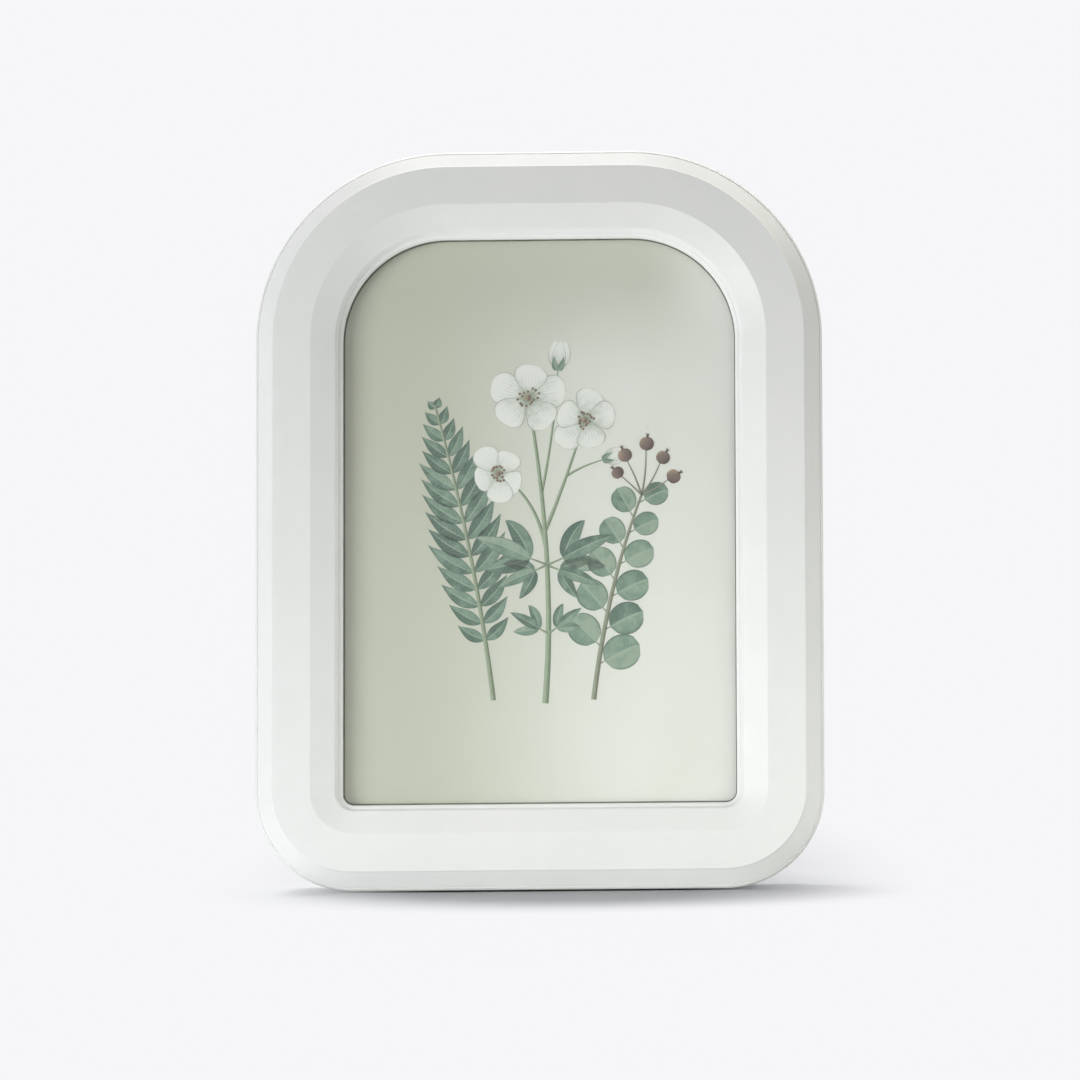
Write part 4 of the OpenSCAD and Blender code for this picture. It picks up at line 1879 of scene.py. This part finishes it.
@dataclass
class Hinge(SubAssembly):
    """The pressed steel hinge of the strut: two rolled leaves, a pin and four rivets.

    Attributes:
        leaf_edge: Gap from the axis to a leaf's plate.
        roll: How far a finger is rolled round the pin, in degrees.
        finger_lap: How far a finger laps onto its plate.
        strut_leaf_y: Depth of the lower leaf's face, folded.
        strut_rear: Depth of the strut's rear face, folded.
        pin_seat: Where a head of the pin sits, from the middle.
        pin_head: Radius and height of a head of the pin.
        rivet_head: Radius and height of a rivet's head.
    """

    leaf_w: float = 28.0
    leaf_l: float = 21.0
    leaf_t: float = 0.8
    corner_r: float = 3.0
    leaf_edge: float = 2.6
    knuckle_r: float = 2.0
    mid_knuckle: float = 14.0
    outer_knuckle: float = 6.8
    roll: float = 305.0
    finger_lap: float = 1.0
    board_rear: float = 18.0
    strut_leaf_y: float = 18.3
    strut_rear: float = 23.1
    ear: Place = (6.4, 0.8, 7.0)
    ear_y: float = 18.85
    ear_corner_r: float = 1.4
    edge_r: float = 0.10
    pin_r: float = 1.0
    pin_seat: float = 14.05
    pin_head: Point = (1.7, 0.8)
    rivet_r: float = 1.5
    rivet_head: Point = (2.8, 1.0)
    rivet_pitch: float = 16.0
    rivet_drop: float = 13.5

    def build(self, steel: Material) -> None:
        """Make both leaves, the pin and the rivets.

        Args:
            steel: Their finish.
        """
        swing = self.stance.world() @ self.stance.swing()
        half, end = self.mid_knuckle / 2, self.leaf_w / 2
        inner = end - self.outer_knuckle
        upper = self._leaf([(-half, half)], self.board_rear, 1)
        self.seat(upper, "hinge_leaf_upper", steel, "plated_steel", ["hinge_board_leaf"])
        lower = self._leaf([(-end, -inner), (inner, end)], self.strut_leaf_y, -1)
        Bench.place(lower, self.stance.swing())
        for side in (-1, 1):
            Bench.combine(lower, self._ear(side), "UNION")
        Bench.heal(lower)
        Bench.smooth(lower)
        self.seat(lower, "hinge_leaf_lower", steel, "plated_steel", ["hinge_strut_leaf"], "strut")
        self.seat(self._pin(), "hinge_pin_turned", steel, "plated_steel", ["hinge_pin"])
        axis_z = self.stance.axis_z
        high = self._rivets(self.board_rear + self.leaf_t, axis_z + self.rivet_drop, 3.0)
        self.seat(high, "board_rivets_domed", steel, "plated_steel", ["board_rivets"])
        low = self._rivets(self.strut_rear, axis_z - self.rivet_drop, 4.0)
        self.seat(
            low, "strut_rivets_domed", steel, "plated_steel", ["strut_rivets"], "strut", swing,
        )

    def _leaf(self, fingers: Sequence[Point], front: float, side: int) -> Thing:
        """Make a leaf: a plate with fingers rolled round the pin.

        Args:
            fingers: Both ends of each finger along the pin.
            front: Depth of the plate's face.
            side: 1 for a leaf above the axis, -1 for one below it.

        Returns:
            The leaf, in its folded place.
        """
        axis_z = self.stance.axis().z
        tall = self.leaf_l - self.leaf_edge
        middle_y = front + self.leaf_t / 2
        leaf = Bench.block(
            (self.leaf_w, self.leaf_t, tall),
            (0, middle_y, axis_z + side * (self.leaf_edge + tall / 2)),
        )
        far = axis_z + side * (self.leaf_l - 1)
        Bench.bevel(
            leaf,
            lambda a, b: abs(a.y - b.y) > 0.5 and side * (a.z - far) > 0 and side * (b.z - far) > 0,
            self.corner_r, 8,
        )
        for first, last in fingers:
            Bench.combine(leaf, self._finger(first, last, middle_y, side), "UNION")
        Bench.soften(leaf, self.edge_r, 2)
        return leaf

    def _finger(self, first: float, last: float, middle_y: float, side: int) -> Thing:
        """Roll a strip of the leaf's sheet round the hinge axis.

        Args:
            first: One end of the finger along the pin.
            last: Its other end.
            middle_y: Depth of the middle of the leaf's sheet.
            side: 1 for a leaf above the axis, -1 for one below it.

        Returns:
            The finger.
        """
        axis = self.stance.axis()
        curl = self.knuckle_r - self.leaf_t / 2
        root = axis.z + side * (self.leaf_edge + self.finger_lap)
        edge = axis.z + side * self.leaf_edge
        corners = [(first, root), (last, root), (last, edge), (first, edge)]
        strip = Bench.ring([(x, middle_y, z) for x, z in corners], filled=True)
        Bench.pick_edges(strip, lambda a, b: abs(a.z - edge) < 0.01 and abs(b.z - edge) < 0.01)
        with Bench.editing(strip, Pick.EDGES):
            rise = (0, axis.y - curl - middle_y, axis.z - edge)
            bpy.ops.mesh.extrude_region_move(TRANSFORM_OT_translate={"value": rise})
            bpy.ops.mesh.spin(
                steps=26, angle=-side * math.radians(self.roll), center=tuple(axis), axis=(1, 0, 0),
            )
        Bench.heal(strip)
        Bench.modify(
            strip, "SOLIDIFY", thickness=self.leaf_t, offset=0.0, use_even_offset=True,
        )
        Bench.heal(strip)
        return strip

    def _ear(self, side: int) -> Thing:
        """Make a stop ear of the strut's leaf, where it stands when the strut is open.

        Args:
            side: -1 for the left ear, 1 for the right one.

        Returns:
            The ear.
        """
        _, thick, tall = self.ear
        foot_z = self.stance.axis_z
        middle_x = side * (self.leaf_w / 2 - self.outer_knuckle / 2)
        made = Bench.block(self.ear, (middle_x, self.ear_y + thick / 2, foot_z + tall / 2))
        top = foot_z + tall - 0.5
        Bench.bevel(
            made, lambda a, b: abs(a.y - b.y) > 0.5 and min(a.z, b.z) > top, self.ear_corner_r, 6,
        )
        Bench.soften(made, self.edge_r, 2)
        return made

    def _pin(self) -> Thing:
        """Turn the pin with its two domed heads.

        Returns:
            The pin, along the axis.
        """
        radius, height = self.pin_head
        half = [*Section.dome(radius, height, self.pin_seat), (self.pin_r, self.pin_seat)]
        made = Bench.lathe([*half, *[(r, -h) for r, h in reversed(half)]], 32)
        Bench.smooth(made, 35.0)
        along_x = Matrix.Rotation(QUARTER, 4, "Y")
        Bench.place(made, Matrix.Translation(self.stance.axis()) @ along_x)
        return made

    def _rivets(self, seat: float, height: float, length: float) -> Thing:
        """Turn the pair of rivets of one leaf.

        Args:
            seat: Depth of the face that the heads sit on.
            height: Height of the rivets.
            length: Length of their shanks.

        Returns:
            The pair.
        """
        radius, crown = self.rivet_head
        shank = [(self.rivet_r, 0.0), (self.rivet_r, -length), (0.0, -length)]
        pair = []
        for side in (-1, 1):
            rivet = Bench.lathe([*Section.dome(radius, crown, 0.0), *shank], 36)
            Bench.smooth(rivet, 40.0)
            Bench.place(rivet, self.stance.on_rear(side * self.rivet_pitch / 2, seat, height))
            pair.append(rivet)
        return Bench.join(pair)


@dataclass
class RearHardware(SubAssembly):
    """What is on the rear of the moulding: six turn buttons, the keyhole hanger, screws and pads.

    Attributes:
        buttons: Each button's name, its screw's place and its turn in degrees.
        dimple: Radius and height of the finger dimple.
        press_r: Radius of the pressed plates' edges.
        screw_head: Radius and height of a pan head.
        recess: Length and width of a cross recess.
        recess_taper: How much a recess narrows towards its floor.
        keyhole: Radii of the keyhole's mouth and slot.
        pad: Radius and thickness of a pad.
        pad_draft: How much a pad is drawn in at its foot.
    """

    rear: float = 18.3
    buttons: tuple[tuple[str, float, float, float], ...] = (
        ("left_upper", -70.5, 161.8, 0.0),
        ("left_lower", -70.5, 62.8, 0.0),
        ("right_upper", 70.5, 161.8, 180.0),
        ("right_lower", 70.5, 62.8, 180.0),
        ("top_left", -41.0, 208.3, 90.0),
        ("top_right", 41.0, 208.3, 90.0),
    )
    button_gap: float = 0.15
    button_t: float = 1.0
    button_r: float = 4.5
    button_tip: float = 9.0
    dimple: Point = (2.2, 0.7)
    press_r: float = 0.14
    screw_r: float = 1.6
    screw_play: float = 0.05
    screw_head: Point = (3.2, 1.8)
    screw_rim: float = 0.25
    screw_depth: float = 9.0
    screw_point: float = 2.0
    recess: Point = (3.8, 0.8)
    recess_taper: Point = (0.45, 0.7)
    hanger: Place = (42.0, 1.0, 16.0)
    hanger_z: float = 211.607
    hanger_corner_r: float = 3.0
    keyhole: Point = (4.0, 2.1)
    slot_rise: float = 6.0
    hanger_pitch: float = 31.0
    pad: Point = (5.0, 1.6)
    pad_edge: float = 0.35
    pad_draft: float = 0.05
    pad_at: Point = (69.514, 15.686)
    seed: int = 5

    def build(self, steel: Material, foam: Material) -> None:
        """Make the buttons, the hanger, the screws and the pads.

        Args:
            steel: The finish of all metal pieces.
            foam: The finish of the pads.
        """
        chance = random.Random(self.seed)
        master, screw = self._button(), self._screw()
        screws = []
        for name, x, z, turn in self.buttons:
            node = f"turn_button_{name}"
            seat = self.stance.on_rear(x, self.rear + self.button_gap, z, turn)
            button = Bench.copy(master, seat)
            self.seat(button, f"{node}_pressed", steel, "plated_steel", [node], node)
            top = self.rear + self.button_t + 2 * self.button_gap
            held = self.stance.on_rear(x, top, z, chance.uniform(0, 90))
            screws.append(Bench.copy(screw, held))
        six = Bench.join(screws)
        self.seat(six, "turn_button_screws_pan", steel, "plated_steel", ["turn_button_screws"])
        hanger = self._hanger()
        self.seat(hanger, "hanger_plate_pressed", steel, "plated_steel", ["hanger_plate"])
        top = self.rear + self.hanger[1]
        pair = Bench.join([
            Bench.copy(screw, self.stance.on_rear(x, top, self.hanger_z, chance.uniform(0, 90)))
            for x in (-self.hanger_pitch / 2, self.hanger_pitch / 2)
        ])
        self.seat(pair, "hanger_screws_pan", steel, "plated_steel", ["hanger_screws"])
        self.seat(self._pads(), "bumper_pads_foam", foam, "soft_pad", ["bumper_pads"])
        for spare in (master, screw):
            bpy.data.objects.remove(spare)

    def _button(self) -> Thing:
        """Press a turn button: a round-ended plate with a hole and a finger dimple.

        Returns:
            The button, flat, with its hole on the Z axis.
        """
        rounds = Section.arc((0.0, 0.0), self.button_r, 90, 270, 20)
        tips = Section.arc((self.button_tip, 0.0), self.button_r, -90, 90, 20)
        plate = Bench.ring([(x, y, 0.0) for x, y in [*rounds, *tips]], filled=True)
        with Bench.editing(plate, Pick.FACES, everything=True):
            rise = (0, 0, self.button_t)
            bpy.ops.mesh.extrude_region_move(TRANSFORM_OT_translate={"value": rise})
        Bench.heal(plate)
        hole_r = self.screw_r + self.screw_play
        Bench.combine(plate, Bench.lathe([(0, 2), (hole_r, 2), (hole_r, -1), (0, -1)], 32))
        radius, height = self.dimple
        cap = Section.dome(radius, height, self.button_t - 0.02)
        dimple = Bench.lathe([*cap, (radius, 0.3), (0.0, 0.3)], 32)
        Bench.place(dimple, Matrix.Translation((self.button_tip, 0, 0)))
        Bench.combine(plate, dimple, "UNION")
        Bench.soften(plate, self.press_r, 2, 50.0)
        return plate

    def _screw(self) -> Thing:
        """Turn a pan head screw and cut its cross recess.

        Returns:
            The screw, with its head's foot on z = 0.
        """
        radius, height = self.screw_head
        rim = self.screw_rim
        length = self.screw_depth + self.button_t
        screw = Bench.lathe([
            *Section.dome(radius - rim, height / 2, height / 2),
            *Section.arc((radius - rim, height / 2 - rim), rim, 90, 0, 4),
            (radius, 0.0),
            (self.screw_r, 0.0),
            (self.screw_r, -length + self.screw_point),
            (0.0, -length),
        ], 40)
        for turn in (0, 90):
            slot = Bench.block((*self.recess, height), (0, 0, height))
            Bench.pick_faces(slot, lambda _, normal: normal.z < -0.9)
            with Bench.editing(slot, Pick.FACES):
                bpy.ops.transform.resize(value=(*self.recess_taper, 1), center_override=(0, 0, 0))
            Bench.place(slot, Matrix.Rotation(math.radians(turn), 4, "Z"))
            Bench.combine(screw, slot)
        Bench.heal(screw)
        Bench.smooth(screw, 32.0)
        return screw

    def _hanger(self) -> Thing:
        """Press the keyhole plate.

        Returns:
            The plate.
        """
        middle_y = self.rear + self.hanger[1] / 2
        plate = Bench.plate(self.hanger, (0, middle_y, self.hanger_z), self.hanger_corner_r, 8)
        mouth, slot = self.keyhole
        low = self.hanger_z - self.slot_rise / 2
        through = 4
        hole_r, hole_x = self.screw_r + self.screw_play, self.hanger_pitch / 2
        for tool in (
            Bench.drum(mouth, (0, middle_y, low), through),
            Bench.drum(slot, (0, middle_y, low + self.slot_rise), through),
            Bench.block((2 * slot, through, self.slot_rise), (0, middle_y, self.hanger_z)),
            Bench.drum(hole_r, (-hole_x, middle_y, self.hanger_z), through, 32),
            Bench.drum(hole_r, (hole_x, middle_y, self.hanger_z), through, 32),
        ):
            Bench.combine(plate, tool)
        Bench.soften(plate, self.press_r, 2)
        return plate

    def _pads(self) -> Thing:
        """Punch the two soft pads at the lower corners.

        Returns:
            The pair.
        """
        radius, thick = self.pad
        edge = self.pad_edge
        bend = Section.arc((radius - edge, thick - edge), edge, 90, 0, 5)
        foot = [(radius - self.pad_draft, 0.0), (0.0, 0.0)]
        pair = []
        for side in (-1, 1):
            pad = Bench.lathe([(0.0, thick), *bend, *foot], 40)
            Bench.smooth(pad, 35.0)
            Bench.place(pad, self.stance.on_rear(side * self.pad_at[0], self.rear, self.pad_at[1]))
            pair.append(pad)
        return Bench.join(pair)


class Reach(Enum):
    """What a lamp shines on; the value is the floor's state in the lamp's list of receivers."""

    FRAME = "EXCLUDE"
    FLOOR = "INCLUDE"


@dataclass(frozen=True)
class Lamp:
    """A soft lamp that looks at the frame.

    Attributes:
        name: Its name.
        place: Where its middle is, in metres.
        size: Width and height of its face in metres.
        power: Its power in watts.
        colour: Its colour.
        reach: Whether it shines on the frame or on the floor.
    """

    name: str
    place: Place
    size: Point
    power: float
    colour: str = WHITE
    reach: Reach = Reach.FRAME


@dataclass
class Studio:
    """The camera, the lamps and the pale floor.

    Attributes:
        stance: How the frame stands.
        aim: What the camera and the lamps look at, on the upright frame in millimetres.
    """

    stance: Stance
    aim: Place = (0.50, 0.0, 105.10)
    azimuth: float = 2.578
    elevation: float = 5.111
    roll: float = -0.80
    distance: float = 4.0
    lens: float = 445.9
    sensor: float = 36.0
    clip: Point = (0.1, 100.0)
    floor_size: float = 14.0
    ambient: float = 0.06
    ambient_colour: str = "F4F7FA"
    backdrop: str = "F6F6F8"
    lamps: tuple[Lamp, ...] = (
        Lamp("window_key", (-0.92, -0.39, 0.59), (0.8, 0.8), 2.2),
        Lamp("front_fill", (-0.82, -0.83, 0.20), (0.6, 0.35), 6.6),
        Lamp("top_fill", (0.0, 0.19, 1.29), (0.9, 0.6), 2.1, "FFFDFC"),
        Lamp("top_right", (0.58, 0.30, 1.02), (0.8, 0.6), 7.2, "FFFCF2"),
        Lamp("top_back", (-0.15, 0.45, 1.20), (0.5, 0.5), 4.9),
        Lamp("rear_fill", (-0.25, 1.20, 0.75), (0.9, 0.9), 6.0),
        Lamp("table_bounce", (0.02, -0.20, 0.027), (0.6, 0.05), 0.15, "FAFCFF"),
        Lamp("table_bounce_right", (0.21, -0.25, 0.029), (0.4, 0.05), 0.31, "FFFEF0"),
        Lamp("floor_key", (-0.45, 0.48, 1.22), (0.6, 0.5), 16.5, reach=Reach.FLOOR),
        Lamp("floor_fill", (-1.00, -0.15, 0.50), (0.6, 0.6), 0.8, reach=Reach.FLOOR),
    )

    def target(self) -> Vector:
        """Give the point that the camera and the lamps look at, in metres."""
        return self.stance.world() @ Vector(self.aim)

    def build(self, paper: Material) -> None:
        """Set up the camera, the lamps, the floor and the world.

        Args:
            paper: The floor's finish.
        """
        bpy.context.scene.view_settings.view_transform = "Standard"
        self._camera()
        floor = self._floor(paper)
        for lamp in self.lamps:
            self._lamp(lamp, floor)
        self._world()

    def _camera(self) -> None:
        """Put the camera at the photograph's viewing angle."""
        data = bpy.data.cameras.new("camera")
        data.lens, data.sensor_width = self.lens, self.sensor
        data.clip_start, data.clip_end = self.clip
        camera = bpy.data.objects.new("camera", data)
        bpy.context.scene.collection.objects.link(camera)
        a, e = math.radians(self.azimuth), math.radians(self.elevation)
        back = Vector((math.sin(a) * math.cos(e), -math.cos(a) * math.cos(e), math.sin(e)))
        level = Vector((math.cos(a), math.sin(a), 0.0))
        plumb = back.cross(level)
        turn = math.radians(self.roll)
        right = level * math.cos(turn) + plumb * math.sin(turn)
        up = plumb * math.cos(turn) - level * math.sin(turn)
        pose = Matrix((right, up, back)).transposed().to_4x4()
        pose.translation = self.target() + back * self.distance
        camera.matrix_world = pose
        bpy.context.scene.camera = camera

    def _lamp(self, lamp: Lamp, floor: Thing) -> None:
        """Hang a soft lamp that the camera doesn't see and tie it to what it shines on.

        Args:
            lamp: The lamp.
            floor: The floor, which the lamp's list of receivers names.
        """
        data = bpy.data.lights.new(lamp.name, "AREA")
        data.shape = "RECTANGLE"
        data.size, data.size_y = lamp.size
        data.energy = lamp.power
        data.color = tint(lamp.colour)[:3]
        made = bpy.data.objects.new(lamp.name, data)
        bpy.context.scene.collection.objects.link(made)
        away = (Vector(lamp.place) - self.target()).normalized()
        level = Vector((0.0, 0.0, 1.0)).cross(away).normalized()
        turn = Matrix((level, away.cross(level), away)).transposed().to_4x4()
        made.matrix_world = Matrix.Translation(lamp.place) @ turn
        made.visible_camera = False
        receivers = bpy.data.collections.new(f"{lamp.name}_receivers")
        receivers.objects.link(floor)
        receivers.collection_objects[0].light_linking.link_state = lamp.reach.value
        made.light_linking.receiver_collection = receivers

    def _floor(self, paper: Material) -> Thing:
        """Lay the pale floor.

        Args:
            paper: Its finish.

        Returns:
            The floor.
        """
        Bench.clear()
        bpy.ops.mesh.primitive_grid_add(x_subdivisions=2, y_subdivisions=2, size=self.floor_size)
        floor = bpy.context.object
        floor.name = "floor"
        floor.data.materials.append(paper)
        return floor

    def _world(self) -> None:
        """Light the scene evenly; the camera and the glass see a pale backdrop."""
        world = bpy.data.worlds.new("studio")
        bpy.context.scene.world = world
        tree = ShaderTree(world)
        soft, pale = (
            tree.node("ShaderNodeBackground", None, {"Color": tint(colour), "Strength": strength})
            for colour, strength in ((self.ambient_colour, self.ambient), (self.backdrop, 1.0))
        )
        sky = tree.node("ShaderNodeMixShader", None, {0: tree.seen(), 1: soft, 2: pale})
        tree.node("ShaderNodeOutputWorld", None, {"Surface": sky})


def main() -> None:
    """Load the CAD model, build each sub-assembly round it and set up the studio."""
    logging.basicConfig(level=logging.INFO, format="%(name)s: %(message)s")
    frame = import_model()
    hinge_joint = next(joint for joint in frame["joints"] if joint["name"] == "strut_fold")
    stance = Stance(tuple(hinge_joint["pos_m"]))
    board, steel = Hardboard().make(), PlatedSteel().make()
    finishes = {
        Ink.LINE: ShadowLineInk(), Ink.STEM: StemInk(), Ink.LEAF: LeafInk(), Ink.PETAL: PetalInk(),
        Ink.SEED: SeedInk(),
    }
    inks = {ink: finish.make() for ink, finish in finishes.items()}

    moulding = Moulding(stance)
    moulding.build(SatinPaint().make())
    glazing = Glazing(stance)
    glazing.build(PaneGlass().make(), board, frame["nodes"]["filler_card"], GreyCard().make())
    picture = BotanicalPrint(stance)
    picture.build(ArtPaper().make(), inks)
    strut = Strut(stance)
    strut.build(board)
    hinge = Hinge(stance)
    hinge.build(steel)
    hardware = RearHardware(stance)
    hardware.build(steel, FoamPad().make())
    for group in (moulding, glazing, picture, strut, hinge, hardware):
        group.report()
    Studio(stance).build(StudioPaper().make())
    Bench.clear()
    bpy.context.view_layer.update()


if __name__ == "__main__":
    main()
